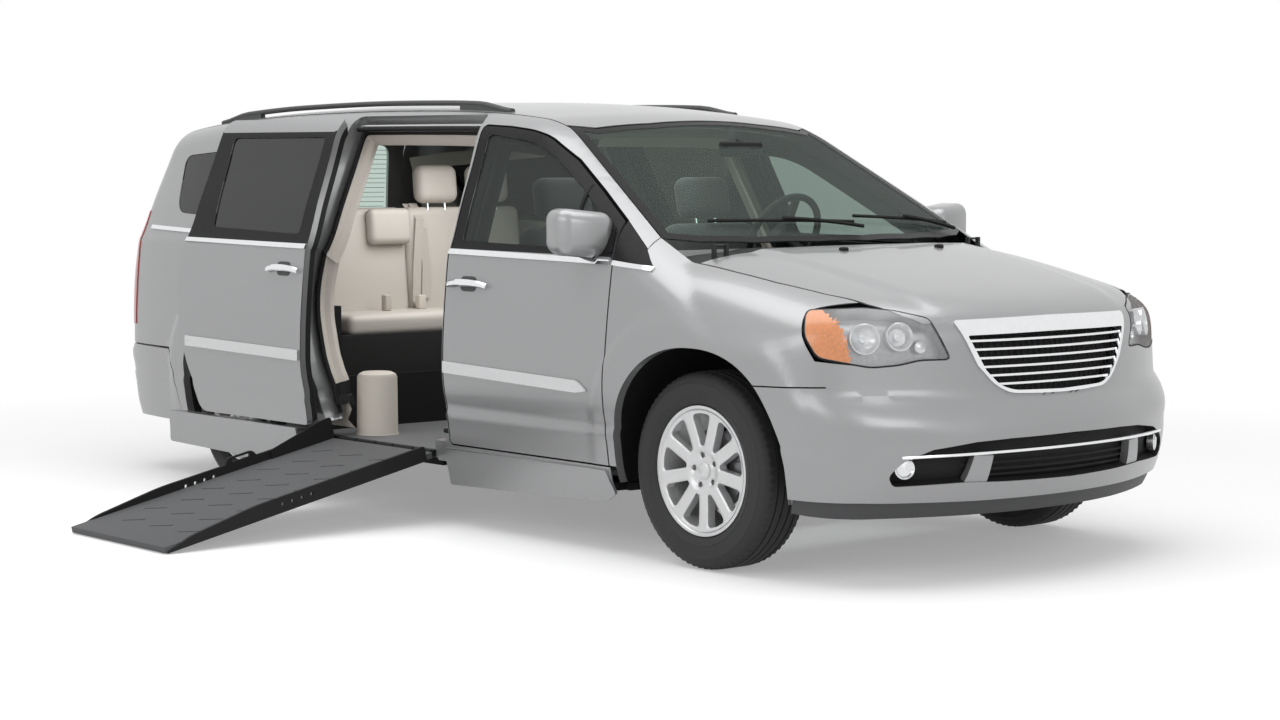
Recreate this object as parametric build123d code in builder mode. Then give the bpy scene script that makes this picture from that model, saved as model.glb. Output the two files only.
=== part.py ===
"""Wheelchair accessible minivan with a fold-out side ramp, in millimetres.

The van's own axes are x forward from the front axle, y to its left and z up from the ground.
At export every piece moves by ROW_ORIGIN, so that the middle of the footprint is at the origin.
"""

import math
import os

from build123d import *

os.makedirs("parts", exist_ok=True)

# Whole vehicle
NOSE = 950
TAIL = -4201
WHEELBASE = 3078
TRACK = 1651
HALF_WIDTH = 999
MIRROR_REACH = 1120
ROOF_HEIGHT = 1729

# Clearances
FIT = 0.3
SEAM = 8

# Wheels
TYRE_RADIUS = 358
TYRE_WIDTH = 225
RIM_RADIUS = 235.5
RIM_WIDTH = 190
SPINDLE_RADIUS = 30
SPOKES = 9
ARCH_RADIUS = 430
ARCH_X = 15
KINGPIN_Y = 655

# Ramp
RAMP_WIDTH = 740
RAMP_MIDDLE = -1940
RAMP_HINGE_Y = -930
RAMP_HINGE_Z = 285
RAMP_TIP_Y = -2190
RAMP_THICK = 26
RAMP_RAIL = 62
RAMP_PIN = 7
RAMP_KNUCKLE = 15

# Depths of the panels under the outer surface
PANEL = 40
DOOR = 70
REBATE = 78
WALL = 120
GLASS_OUT = 14
GLASS_IN = 19
# Width of the flange that the door seals rest on
LAND = 46
# Line between the painted sides and the window frames
BELT_Z = 1110

# Travel of the open sliding door
SLIDE_BACK = 855
SLIDE_OUT = 108

# Floor
FLOOR_TOP = 285
FLOOR_THICK = 30
REAR_FLOOR_TOP = 520

# Outer surface, seen from the side: along, up, corner radius
SIDE_ROWS = [
    (1150, 150, 0),
    (1150, 837, 0),
    (-60, 1168, 0),
    (-985, 1645, 160),
    (-1500, 1706, 2500),
    (-2200, ROOF_HEIGHT, 4000),
    (-3100, 1718, 4000),
    (-3800, 1668, 1500),
    (-4045, 1636, 35),
    (-4118, 1130, 400),
    (-4146, 900, 300),
    (-4140, 610, 0),
    (TAIL, 560, 40),
    (TAIL, 380, 90),
    (-4130, 150, 0),
]
# Half of the outer surface, seen from the end: across, up, corner radius
SECTION_ROWS = [
    (0, 1734, 0),
    (430, 1724, 900),
    (625, 1700, 220),
    (706, 1660, 90),
    (748, 1600, 150),
    (966, 1112, 30),
    (988, 880, 500),
    (HALF_WIDTH, 640, 120),
    (978, 470, 60),
    (966, 330, 60),
    (925, 150, 0),
]
# Half of the outer surface, seen from above: along, across, corner radius
PLAN_ROWS = [
    (1150, 560, 0),
    (775, 800, 120),
    (690, 880, 160),
    (520, 930, 500),
    (150, 972, 1200),
    (-450, HALF_WIDTH, 3000),
    (-2900, HALF_WIDTH, 3000),
    (-3700, 968, 1500),
    (-4080, 905, 120),
    (-4160, 760, 200),
    (TAIL, 330, 0),
]
# Middle of the nose, turned about an upright axis: along, up, corner radius
NOSE_ROWS = [
    (780, 150, 0),
    (862, 225, 0),
    (912, 330, 60),
    (NOSE, 450, 60),
    (NOSE, 530, 60),
    (905, 610, 30),
    (880, 655, 0),
    (868, 880, 60),
    (845, 925, 40),
    (790, 965, 0),
    (790, 1300, 0),
]
NOSE_CURVE = 1600
# Drop of the bonnet and wings below the bonnet line: across, up, corner radius
SHOULDER_ROWS = [
    (0, 4, 0),
    (600, -16, 1200),
    (800, -52, 300),
    (915, -128, 120),
    (1000, -300, 0),
]
GLASS_CURVE = 2700
# Foot of the windscreen, seen from above
SCREEN_FOOT_X = -60
SCREEN_FOOT_SIDE = (-400, 950)

# Distances beyond either side and above the roof, for cutting tools
LONG = 1300
HIGH = 2000

ROW_ORIGIN = (-(NOSE + TAIL) / 2, -(RAMP_TIP_Y + MIRROR_REACH) / 2, 0)


def outline(plane, rows, inset=0.0):
    with BuildSketch(plane) as shape:
        with BuildLine():
            Polyline(*[(a, b) for a, b, _ in rows], close=True)
        make_face()
        if inset:
            offset(amount=-inset, kind=Kind.INTERSECTION)
        for a, b, radius in rows:
            if radius:
                corner = shape.vertices().sort_by_distance((a, b, 0))[0]
                fillet(corner, max(radius - inset, 5))
    return shape.sketch


def mirrored(half_rows):
    back = [(-a, b, r) for a, b, r in reversed(half_rows) if a != 0]
    return half_rows + back


def box(x0, x1, y0, y1, z0, z1):
    with BuildPart() as solid:
        with Locations(((x0 + x1) / 2, (y0 + y1) / 2, (z0 + z1) / 2)):
            Box(abs(x1 - x0), abs(y1 - y0), abs(z1 - z0))
    return solid.part


def across(x, z, radius, y0, y1):
    """Round bar that runs across the van."""
    with BuildPart() as solid:
        with BuildSketch(Plane(origin=(x, y0, z), z_dir=(0, 1, 0))):
            Circle(radius)
        extrude(amount=y1 - y0)
    return solid.part


def upright(x, y, radius, z0, z1):
    with BuildPart() as solid:
        with BuildSketch(Plane.XY.offset(z0)):
            with Locations((x, y)):
                Circle(radius)
        extrude(amount=z1 - z0)
    return solid.part


def joined(*pieces):
    with BuildPart() as solid:
        for piece in pieces:
            add(piece)
    return solid.part


def cut(base, *tools):
    with BuildPart() as solid:
        add(base)
        for tool in tools:
            add(tool, mode=Mode.SUBTRACT)
    return solid.part


def within(base, *limits):
    with BuildPart() as solid:
        add(base)
        for limit in limits:
            add(limit, mode=Mode.INTERSECT)
    return solid.part


def both_sides(piece):
    with BuildPart() as solid:
        add(piece)
        mirror(piece, about=Plane.XZ)
    return solid.part


def other_side(piece):
    with BuildPart() as solid:
        mirror(piece, about=Plane.XZ)
    return solid.part


def behind_screen_foot(front_x, rear_x):
    """Upright block between two distances along, bounded by the foot of the windscreen."""
    side_x, side_y = SCREEN_FOOT_SIDE
    far = front_x or rear_x
    with BuildPart() as solid:
        with BuildSketch(Plane.XY):
            with BuildLine():
                ThreePointArc((side_x, side_y), (SCREEN_FOOT_X, 0), (side_x, -side_y))
                Polyline(
                    (side_x, -side_y),
                    (side_x, -LONG),
                    (far, -LONG),
                    (far, LONG),
                    (side_x, LONG),
                    (side_x, side_y),
                )
            make_face()
        extrude(amount=HIGH + 600, dir=(0, 0, 1))
    return solid.part


def shoulder_tool(inset):
    """What is cut away above the bonnet and wings."""
    slope = math.atan2(1168 - 837, 1210)
    plane = Plane(
        origin=(-700, 0, 1168 + 640 * math.tan(slope)),
        x_dir=(0, 1, 0),
        z_dir=(math.cos(slope), 0, -math.sin(slope)),
    )
    up = math.copysign(1, plane.y_dir.Z)
    right = [(a, up * (b - inset), 0) for a, b, _ in SHOULDER_ROWS]
    left = [(-a, b, r) for a, b, r in reversed(right) if a]
    low = up * (SHOULDER_ROWS[-1][1] - inset)
    rim = [(1300, low, 0), (1300, up * 900, 0), (-1300, up * 900, 0), (-1300, low, 0)]
    with BuildPart() as solid:
        with BuildSketch(plane) as face:
            with BuildLine():
                Polyline(*[(a, b) for a, b, _ in right + rim + left], close=True)
            make_face()
            for a, b, radius in SHOULDER_ROWS:
                for sign in (1, -1):
                    if radius:
                        corner = face.vertices().sort_by_distance((sign * a, up * (b - inset), 0))[0]
                        fillet(corner, radius)
        extrude(amount=2300, dir=plane.z_dir)
        add(behind_screen_foot(1400, 0), mode=Mode.INTERSECT)
    return solid.part


def screen_tool(inset):
    """What is cut away in front of the windscreen."""
    run, rise = 925, 1645 - 1168
    length = math.hypot(run, rise)
    along = Vector(-run / length, 0, rise / length)
    plane = Plane(origin=Vector(SCREEN_FOOT_X, 0, 1168) - along * 600, x_dir=(0, 1, 0), z_dir=along)
    up = math.copysign(1, plane.y_dir.Z)
    with BuildPart() as solid:
        with BuildSketch(plane):
            with Locations((0, up * 300)):
                Rectangle(2600, 1400)
            with Locations((0, -up * (GLASS_CURVE + inset))):
                Circle(GLASS_CURVE, mode=Mode.SUBTRACT)
        extrude(amount=2200, dir=along)
        add(behind_screen_foot(0, -2600), mode=Mode.INTERSECT)
    return solid.part


def nose_tool(inset):
    """The rounded nose, which keeps everything behind a line near the front axle."""
    axis_x = NOSE - NOSE_CURVE
    rows = [(a - axis_x, b, r) for a, b, r in NOSE_ROWS] + [(100, 1300, 0), (100, 150, 0)]
    with BuildPart() as solid:
        face = outline(Plane.XZ, rows, inset)
        add(face.moved(Location((axis_x, 0, 0))))
        revolve(axis=Axis((axis_x, 0, 0), (0, 0, 1)), revolution_arc=360)
        add(box(-4600, 250, -1300, 1300, 100, 2000))
    return solid.part


def envelope(inset):
    """The body's outer surface as a solid, moved inwards by inset."""
    plan_rows = PLAN_ROWS + [(a, -b, r) for a, b, r in reversed(PLAN_ROWS)]
    with BuildPart() as hull:
        extrude(outline(Plane.XZ, SIDE_ROWS, inset), amount=1300, both=True)
        extrude(
            outline(Plane.YZ, mirrored(SECTION_ROWS), inset),
            amount=6000,
            both=True,
            mode=Mode.INTERSECT,
        )
        extrude(outline(Plane.XY, plan_rows, inset), amount=2000, dir=(0, 0, 1), mode=Mode.INTERSECT)
        add(nose_tool(inset), mode=Mode.INTERSECT)
        add(shoulder_tool(inset), mode=Mode.SUBTRACT)
        add(screen_tool(inset), mode=Mode.SUBTRACT)
    return hull.part


def keep(name, solid):
    """Writes one piece in the row's frame."""
    piece = Pos(*ROW_ORIGIN) * solid
    piece.label = name
    export_step(piece, f"parts/{name}.step")


# Surfaces at the depths that the panels need
OUTER = envelope(0)
IN_GLASS = envelope(GLASS_OUT)
IN_PANE = envelope(GLASS_IN)
IN_PANEL = envelope(PANEL)
IN_DOOR = envelope(DOOR)
IN_REBATE = envelope(REBATE)
IN_WALL = envelope(WALL)

# Doors and windows, seen from the side: along, up, corner radius
FRONT_DOOR_ROWS = [
    (-462, 340, 20),
    (-1446, 340, 20),
    (-1446, 1115, 0),
    (-1518, 1606, 25),
    (-1035, 1586, 80),
    (-790, 1500, 80),
    (-468, 1236, 20),
    (-440, 1085, 0),
]
FRONT_WINDOW_ROWS = [
    (-560, 1138, 15),
    (-1392, 1152, 15),
    (-1458, 1556, 25),
    (-1060, 1538, 70),
    (-825, 1455, 80),
    (-600, 1262, 20),
]
SLIDING_DOOR_ROWS = [
    (-1462, 352, 15),
    (-2330, 352, 60),
    (-2492, 880, 180),
    (-2436, 1155, 60),
    (-2470, 1655, 45),
    (-1540, 1651, 25),
    (-1462, 1120, 0),
]
SLIDING_WINDOW_ROWS = [
    (-1528, 1166, 20),
    (-2270, 1180, 20),
    (-2352, 1574, 30),
    (-1596, 1570, 30),
]
QUARTER_WINDOW_ROWS = [
    (-2540, 1186, 20),
    (-3690, 1232, 70),
    (-3800, 1496, 60),
    (-2566, 1570, 30),
]
# Body side without its openings: along, up, corner radius
BODY_SIDE_ROWS = [
    (-448, 262, 0),
    (-448, 1088, 0),
    (-300, 1130, 0),
    (-300, 1300, 0),
    (-1000, 1760, 0),
    (-4300, 1760, 0),
    (-4300, 606, 0),
    (-3624, 606, 0),
    (-3560, 262, 0),
]
WING_ROWS = [
    (-432, 340, 20),
    (-432, 1088, 0),
    (-290, 1126, 0),
    (-200, 1400, 0),
    (480, 1200, 0),
    (480, 955, 0),
    (560, 795, 0),
    (604, 707, 0),
    (290, 694, 0),
    (290, 340, 0),
]
LAMP_ROWS = [
    (486, 955, 0),
    (486, 1300, 0),
    (1300, 1300, 0),
    (1300, 795, 0),
    (566, 795, 0),
]


def mirrored_box(x0, x1, y0, y1, z0, z1):
    return joined(box(x0, x1, y0, y1, z0, z1), box(x0, x1, -y1, -y0, z0, z1))


def grown(rows, by):
    return outline(Plane.XZ, rows, -by)


def side_block(face, y0, y1):
    """Extrudes a face of the side view between two distances across."""
    with BuildPart() as solid:
        extrude(face.moved(Location((0, y0, 0))), amount=y1 - y0, dir=(0, 1, 0))
    return solid.part


def end_block(rows, x0, x1):
    with BuildPart() as solid:
        extrude(outline(Plane.YZ, rows).moved(Location((x0, 0, 0))), amount=x1 - x0, dir=(1, 0, 0))
    return solid.part


def plan_block(rows, z0, z1):
    with BuildPart() as solid:
        extrude(outline(Plane.XY, rows).moved(Location((0, 0, z0))), amount=z1 - z0, dir=(0, 0, 1))
    return solid.part


# Wheel arches
ARCHES = joined(
    across(ARCH_X, TYRE_RADIUS + 8, ARCH_RADIUS, -LONG, LONG),
    across(-WHEELBASE, TYRE_RADIUS + 8, ARCH_RADIUS, -LONG, LONG),
)
SHELL = cut(OUTER, IN_WALL)
THIN_SHELL = cut(OUTER, IN_PANEL)
DOOR_SHELL = cut(OUTER, IN_DOOR)

TAILGATE_TOP = -3963


def foot_block(forward):
    """Everything ahead of the windscreen foot line moved forward by a distance."""
    return behind_screen_foot(2400, 0).moved(Location((forward, 0, 0)))


# Line between the windscreen and the posts, seen from above: along, across
POST_LINE = [(-4400, 657), (-1140, 657), (-330, 815), (-290, 822)]
outside_post = [(a, b, 0) for a, b in POST_LINE] + [(-290, 1300, 0), (-4400, 1300, 0)]
DOOR_LINE = [(-4400, 680), (-1140, 680), (-380, 850), (-290, 850)]
inside_post = [(a, b, 0) for a, b in POST_LINE] + [(0, 880, 0)]
inside_post += [(a, -b, 0) for a, b, _ in reversed(inside_post)]

# Left body side, which the right one mirrors
SILL_TOP = 352
HEADER_BOTTOM = 1545
side = within(
    SHELL,
    side_block(grown(BODY_SIDE_ROWS, 0), 0, LONG),
    plan_block(outside_post, 0, HIGH),
)
door_cavities = joined(
    side_block(grown(FRONT_DOOR_ROWS, SEAM), 0, LONG),
    side_block(grown(SLIDING_DOOR_ROWS, SEAM), 0, LONG),
    box(-3100, -300, 0, LONG, 0, SILL_TOP),
)
outside_door = [(a, b, 0) for a, b in DOOR_LINE] + [(-290, 1300, 0), (-4400, 1300, 0)]
outside_door_block = plan_block(outside_door, 0, HIGH)
door_cavities = within(cut(door_cavities, IN_REBATE), outside_door_block.moved(Location((0, -SEAM, 0))))
front_opening = within(side_block(grown(FRONT_DOOR_ROWS, -LAND), 0, LONG), outside_door_block)
side_opening = within(
    side_block(grown(SLIDING_DOOR_ROWS, -LAND), 600, LONG),
    box(-3100, -300, 600, LONG, 0, HEADER_BOTTOM),
)
side = cut(
    side,
    door_cavities,
    front_opening,
    side_opening,
    side_block(grown(QUARTER_WINDOW_ROWS, 0), 0, LONG),
    ARCHES,
)
TAIL_LAMP_ROWS = [(690, 690, 20), (1100, 690, 0), (1100, 1230, 0), (760, 1230, 30)]
tail_lamp_block = end_block(TAIL_LAMP_ROWS, -4300, -3990)
tail_lamp = within(THIN_SHELL, tail_lamp_block)
side = cut(side, tail_lamp)
keep("tail_lamps", both_sides(tail_lamp))

# Roof between the posts, from the windscreen to the tailgate
roof = within(
    THIN_SHELL,
    plan_block(inside_post, 1500, HIGH),
    box(TAILGATE_TOP + SEAM, -900, -LONG, LONG, 1400, HIGH),
)
HEADER_LIFT = -935
roof = cut(roof, foot_block(HEADER_LIFT))

# Tailgate and its glass
tailgate_rows = [(-649, 612, 20), (649, 612, 20), (649, 1800, 0), (-649, 1800, 0)]
TAILGATE_ROWS = [
    (TAILGATE_TOP, 1800, 0),
    (TAILGATE_TOP, 1584, 0),
    (-3980, 1584, 0),
    (-4052, 1130, 0),
    (-4080, 900, 0),
    (-4074, 600, 0),
    (-4300, 600, 0),
    (-4300, 1800, 0),
]
tailgate = within(
    OUTER,
    end_block(tailgate_rows, -4300, TAILGATE_TOP),
    side_block(grown(TAILGATE_ROWS, 0), -LONG, LONG),
)
rear_window_rows = [(-585, 1140, 40), (585, 1140, 40), (560, 1560, 50), (-560, 1560, 50)]
rear_opening = end_block(rear_window_rows, -4300, -3984)
tailgate = cut(tailgate, rear_opening)
glass_layer = cut(IN_GLASS, IN_PANE)
rear_pane_rows = [(a * 0.9985, b + math.copysign(1, 1300 - b), r) for a, b, r in rear_window_rows]
rear_pane = end_block(rear_pane_rows, -4300, -3990)
keep("tailgate_glass", within(glass_layer, rear_pane))

# Wings, bonnet, cowl and windscreen
BONNET_EDGE = [(800, 560), (707, 622), (455, 745), (60, 800), (-290, 812)]
wing = within(THIN_SHELL, side_block(grown(WING_ROWS, 0), 0, LONG))
BONNET_GAP = 6


def bonnet_block(wider):
    """Block over the bonnet, its sides moved out by a distance."""
    left = [(1200, 560 + wider, 0)] + [(a, b + wider, 0) for a, b in BONNET_EDGE]
    right = [(a, -b, 0) for a, b, _ in reversed(left)]
    return plan_block(left + right, 700, HIGH)


bonnet_area = bonnet_block(0)
bonnet_gap = bonnet_block(BONNET_GAP)
keep("wings", both_sides(cut(wing, bonnet_gap, ARCHES)))
rear_left = [(-16, 0, 0), (-40, 400, 0), (-128, 812, 0), (1300, 900, 0)]
rear_right = [(a, -b, 0) for a, b, _ in reversed(rear_left) if b]
bonnet_rear = plan_block(rear_left + rear_right, 0, HIGH)
bonnet = within(THIN_SHELL, bonnet_area, bonnet_rear, box(-400, 1200, -LONG, LONG, 905, HIGH))
cowl = within(cut(IN_GLASS, IN_PANEL), bonnet_area, foot_block(0.5))
cowl = cut(cowl, bonnet_rear.moved(Location((-6, 0, 0))))
screen_area = plan_block([(a, b - math.copysign(1.5, b), 0) for a, b, _ in inside_post], 900, HIGH)
screen = within(glass_layer, screen_area, foot_block(HEADER_LIFT - 0.5 + 1))
keep("windscreen", cut(screen, foot_block(-0.5)))

# Bumpers
FRONT_BUMPER_ROWS = [
    (300, 226, 0),
    (1300, 226, 0),
    (1300, 902, 0),
    (700, 902, 0),
    (570, 788, 0),
    (612, 703, 0),
    (300, 686, 0),
]
front_bumper = within(THIN_SHELL, side_block(grown(FRONT_BUMPER_ROWS, 0), -LONG, LONG))
grille_notch = end_block([(-386, 648, 40), (386, 648, 40), (466, 910, 0), (-466, 910, 0)], 500, 1300)
lamp_space = mirrored_box(300, 1300, 494, 1300, 793, 1000)
slot_rows = [(-735, 372, 25), (735, 372, 25), (735, 500, 25), (-735, 500, 25)]
slot = end_block(slot_rows, 500, 1300)
keep("front_bumper", cut(front_bumper, grille_notch, lamp_space, slot, ARCHES))
bumper_grille = within(
    cut(IN_PANE, IN_PANEL),
    end_block([(a - math.copysign(FIT, a), b, r) for a, b, r in slot_rows], 450, 1300),
)
REAR_BUMPER_ROWS = [(-3568, 250, 0), (-4300, 250, 0), (-4300, 598, 0), (-3632, 598, 0)]
BUMPER_INNER = [
    (-3400, 880, 0),
    (-3800, 880, 0),
    (-4020, 840, 0),
    (-4131, 600, 0),
    (-4131, -600, 0),
    (-4020, -840, 0),
    (-3800, -880, 0),
    (-3400, -880, 0),
]
rear_bumper = within(OUTER, side_block(grown(REAR_BUMPER_ROWS, 0), -LONG, LONG))
keep("rear_bumper", cut(rear_bumper, plan_block(BUMPER_INNER, 0, HIGH)))

# Grille and headlamps
grille_rows = [(-385, 652, 40), (385, 652, 40), (462, 905, 30), (-462, 905, 30)]
grille_frame = within(THIN_SHELL, end_block(grille_rows, 500, 1300))
BAR_PITCH = 34
BAR_SPACE = 22
bars = [
    end_block([(-470, z, 0), (470, z, 0), (470, z + BAR_SPACE, 0), (-470, z + BAR_SPACE, 0)], 500, 1300)
    for z in range(676, 850, BAR_PITCH)
]
grille_hole = end_block([(-352, 676, 30), (352, 676, 30), (405, 846, 25), (-405, 846, 25)], 500, 1300)
recess = within(cut(OUTER, IN_PANE), grille_hole)
keep("grille", joined(cut(grille_frame, within(recess, joined(*bars))), bumper_grille))
lamp_half = within(
    DOOR_SHELL,
    end_block([(500, 800, 25), (548, 915, 20), (980, 1010, 0), (980, 800, 0)], 300, 1300),
    side_block(grown(LAMP_ROWS, 0), 0, LONG),
)
keep("headlamps", both_sides(cut(lamp_half, bonnet_gap)))

# Skirts under the doors
SKIRT_SPLIT = -1500
SKIRT_TOP = 324
skirt = cut(within(cut(OUTER, IN_REBATE), box(-2700, -290, 870, LONG, 165, SKIRT_TOP)), ARCHES)
front_skirt = within(skirt, box(SKIRT_SPLIT + 3, 0, 0, LONG, 0, HIGH))
hanger = cut(within(IN_DOOR, box(-2300, -2200, 800, LONG, SKIRT_TOP - 60, SKIRT_TOP + 100)), IN_REBATE)
rear_skirt = joined(within(skirt, box(-2700, SKIRT_SPLIT - 3, 0, LONG, 0, HIGH)), hanger)
opened = Location((-SLIDE_BACK, -SLIDE_OUT, 0))
right_skirts = joined(other_side(front_skirt), other_side(rear_skirt).moved(opened))
keep("side_skirts", joined(front_skirt, rear_skirt, right_skirts))

# Quarter glass
quarter = within(glass_layer, side_block(grown(QUARTER_WINDOW_ROWS, -1), 0, LONG))
keep("quarter_glass", both_sides(quarter))

# Doors and their glass
upper_frame = within(IN_PANEL, box(-3000, 0, -LONG, LONG, BELT_Z, HIGH))


def door(rows, window):
    panel = within(DOOR_SHELL, side_block(grown(rows, 0), 0, LONG), outside_door_block)
    return cut(panel, upper_frame, side_block(grown(window, 0), 0, LONG))


front_door = door(FRONT_DOOR_ROWS, FRONT_WINDOW_ROWS)
front_glass = within(
    glass_layer,
    side_block(grown(FRONT_WINDOW_ROWS, -1), 0, LONG),
    outside_door_block,
)
sliding_door = door(SLIDING_DOOR_ROWS, SLIDING_WINDOW_ROWS)
sliding_glass = within(glass_layer, side_block(grown(SLIDING_WINDOW_ROWS, -1), 0, LONG))
keep("front_door_glass_left", front_glass)
keep("front_door_glass_right", other_side(front_glass))
keep("sliding_door_left", sliding_door)
keep("sliding_door_right", other_side(sliding_door).moved(opened))
keep("sliding_door_glass", joined(sliding_glass, other_side(sliding_glass).moved(opened)))

# Front door hinges: the pin stands near the outer surface, so that the door's edge moves inwards
HINGE_X = -472
HINGE_Y = 986
HINGE_PIN = 4
hinge_lugs = []
for hinge_z in (560, 780):
    lug = cut(box(HINGE_X - 8, HINGE_X + 8, 860, HINGE_Y + 8, hinge_z - 12, hinge_z + 12), IN_REBATE)
    pin = upright(HINGE_X, HINGE_Y, HINGE_PIN, hinge_z - 40, hinge_z + 40)
    hinge_lugs.append(joined(lug, pin))
    pocket = box(HINGE_X - 20, HINGE_X + 60, 860, LONG, hinge_z - 18, hinge_z + 18)
    bore = upright(HINGE_X, HINGE_Y, HINGE_PIN + FIT, hinge_z - 41, hinge_z + 41)
    front_door = cut(front_door, pocket, bore)
keep("front_door_left", front_door)
keep("front_door_right", other_side(front_door))
door_hardware = both_sides(joined(*hinge_lugs))

# Arms that carry the sliding doors
left_arms = joined(
    cut(within(box(-2440, -2400, 800, 1000, 1010, 1040), IN_DOOR), IN_REBATE),
    cut(within(box(-1500, -1475, 800, 1000, 400, 430), IN_DOOR), IN_REBATE),
)
opened_back = within(IN_DOOR, box(-4000, -1000, 0, LONG, 0, HIGH))
opened_back = other_side(opened_back).moved(opened)
right_arms = joined(
    box(-3240, -3180, -1100, -800, 1010, 1040),
    box(-2420, -2392, -1100, -800, 400, 430),
)
right_arms = cut(within(right_arms, opened_back), OUTER)

# Tailgate hinges
TAIL_PIN_X = -3976
TAIL_PIN_Z = 1634
tail_lugs = []
for hinge_y in (-500, 500):
    pocket = box(TAIL_PIN_X - 14, TAILGATE_TOP + SEAM, hinge_y - 21, hinge_y + 21, 1592, HIGH)
    bore = across(TAIL_PIN_X, TAIL_PIN_Z, HINGE_PIN + FIT, hinge_y - 46, hinge_y + 46)
    tailgate = cut(tailgate, pocket, bore)
    lug = box(TAIL_PIN_X - 7, TAILGATE_TOP + SEAM, hinge_y - 15, hinge_y + 15, TAIL_PIN_Z - 7, TAIL_PIN_Z + 7)
    tail_lugs.append(joined(lug, across(TAIL_PIN_X, TAIL_PIN_Z, HINGE_PIN, hinge_y - 45, hinge_y + 45)))
keep("tailgate", tailgate)

# Bonnet hinges
BONNET_PIN_X = -150
BONNET_PIN_Z = 1158
bonnet_arms = []
bonnet_posts = []
for hinge_y in (-690, 690):
    arm = within(box(BONNET_PIN_X - 9, -60, hinge_y - 8, hinge_y + 8, 1135, 1168), OUTER)
    bore = across(BONNET_PIN_X, BONNET_PIN_Z, HINGE_PIN + FIT, hinge_y - 20, hinge_y + 20)
    bonnet_arms.append(cut(arm, bore))
    cowl = cut(cowl, box(BONNET_PIN_X - 22, 0, hinge_y - 46, hinge_y + 46, 1000, HIGH))
    bonnet_posts.append(across(BONNET_PIN_X, BONNET_PIN_Z, HINGE_PIN, hinge_y - 36, hinge_y + 36))
    for ear_y in (hinge_y - 30, hinge_y + 30):
        ear = box(BONNET_PIN_X - 8, BONNET_PIN_X + 8, ear_y - 6, ear_y + 6, 1060, BONNET_PIN_Z + 5)
        bonnet_posts.append(ear)
    bonnet_posts.append(box(BONNET_PIN_X - 8, BONNET_PIN_X + 8, hinge_y - 36, hinge_y + 36, 1060, 1080))
keep("bonnet", joined(bonnet, *bonnet_arms))
keep("cowl", cowl)
keep("roof", joined(roof, *tail_lugs))

# Front frame: rails, aprons and panel that carry wings, lamps, bumper and bonnet
WALL_X = -490
frame_pieces = [
    mirrored_box(WALL_X, 1000, 380, 460, 300, 420),
    mirrored_box(WALL_X, 470, 780, 840, 820, 880),
    box(640, 700, -840, 840, 560, 640),
    mirrored_box(640, 700, 380, 460, 400, 640),
    mirrored_box(440, 700, 780, 840, 580, 640),
    mirrored_box(440, 470, 780, 840, 580, 880),
    mirrored_box(-330, -270, 780, 1000, 830, 870),
    mirrored_box(300, 360, 780, 1000, 830, 870),
    mirrored_box(560, 620, 780, 1000, 590, 630),
    box(640, 1000, -30, 30, 570, 600),
    mirrored_box(BONNET_PIN_X - 8, BONNET_PIN_X + 8, 654, 726, 860, 1065),
    mirrored_box(BONNET_PIN_X - 8, BONNET_PIN_X + 8, 654, 790, 850, 880),
    mirrored_box(640, 1000, 400, 430, 560, 640),
]
lamp_brackets = within(mirrored_box(560, 1000, 600, 640, 600, 872), IN_DOOR)
front_frame = joined(within(joined(*frame_pieces), IN_PANEL), lamp_brackets, *bonnet_posts)

# Floor with the low middle part, its riser and the wheel houses
FLOOR_BOTTOM = 232
CUT_REAR = RAMP_MIDDLE - RAMP_WIDTH / 2 - 55
CUT_FRONT = RAMP_MIDDLE + RAMP_WIDTH / 2 + 70
floor_pieces = [
    box(-2600, -520, -830, 830, FLOOR_BOTTOM, FLOOR_TOP),
    box(-2600, -520, -868, 868, FLOOR_BOTTOM, 262),
    box(CUT_REAR, CUT_FRONT, -868, -800, FLOOR_BOTTOM, FLOOR_TOP),
    box(-520, WALL_X, -830, 830, FLOOR_BOTTOM, 1050),
    box(-2630, -2600, -830, 830, FLOOR_BOTTOM, REAR_FLOOR_TOP),
    box(-4060, -2630, -690, 690, REAR_FLOOR_TOP - FLOOR_THICK, REAR_FLOOR_TOP),
    box(-4200, -4060, -560, 560, 420, REAR_FLOOR_TOP),
    mirrored_box(-3540, -2615, 690, 1000, REAR_FLOOR_TOP - FLOOR_THICK, 832),
]
# Holes that hold a wheelchair's floor anchors: along, across from the middle of the low floor
ANCHOR_X = 700
ANCHOR_Y = 520
ANCHOR_MIDDLE = -1900
ANCHOR_RADIUS = 5.5
floor_room = joined(
    IN_WALL,
    box(-4131, -3900, -560, 560, 0, 600),
    box(CUT_REAR, CUT_FRONT, -868, 0, 0, FLOOR_TOP),
    box(-2650, 0, -870, 870, 0, 262),
)
house = within(joined(*floor_pieces), floor_room)
anchors = [
    upright(ANCHOR_MIDDLE + sx * ANCHOR_X / 2, sy * ANCHOR_Y / 2, ANCHOR_RADIUS, 200, 300)
    for sx in (1, -1)
    for sy in (1, -1)
]
wheel_rooms = [
    across(-WHEELBASE, TYRE_RADIUS + 8, ARCH_RADIUS, 700, LONG),
    across(-WHEELBASE, TYRE_RADIUS + 8, ARCH_RADIUS, -LONG, -700),
]
house = within(cut(house, *anchors, *wheel_rooms), box(-4131, 0, -LONG, LONG, 0, HIGH))
keep("floor", house)

# The right side is cut down at the ramp, so that the floor runs out flush
keep("body_side_left", side)
keep("body_side_right", cut(other_side(side), box(CUT_REAR, CUT_FRONT, -LONG, 0, 200, 460)))
keep("door_hardware", joined(door_hardware, left_arms, right_arms))

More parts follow.
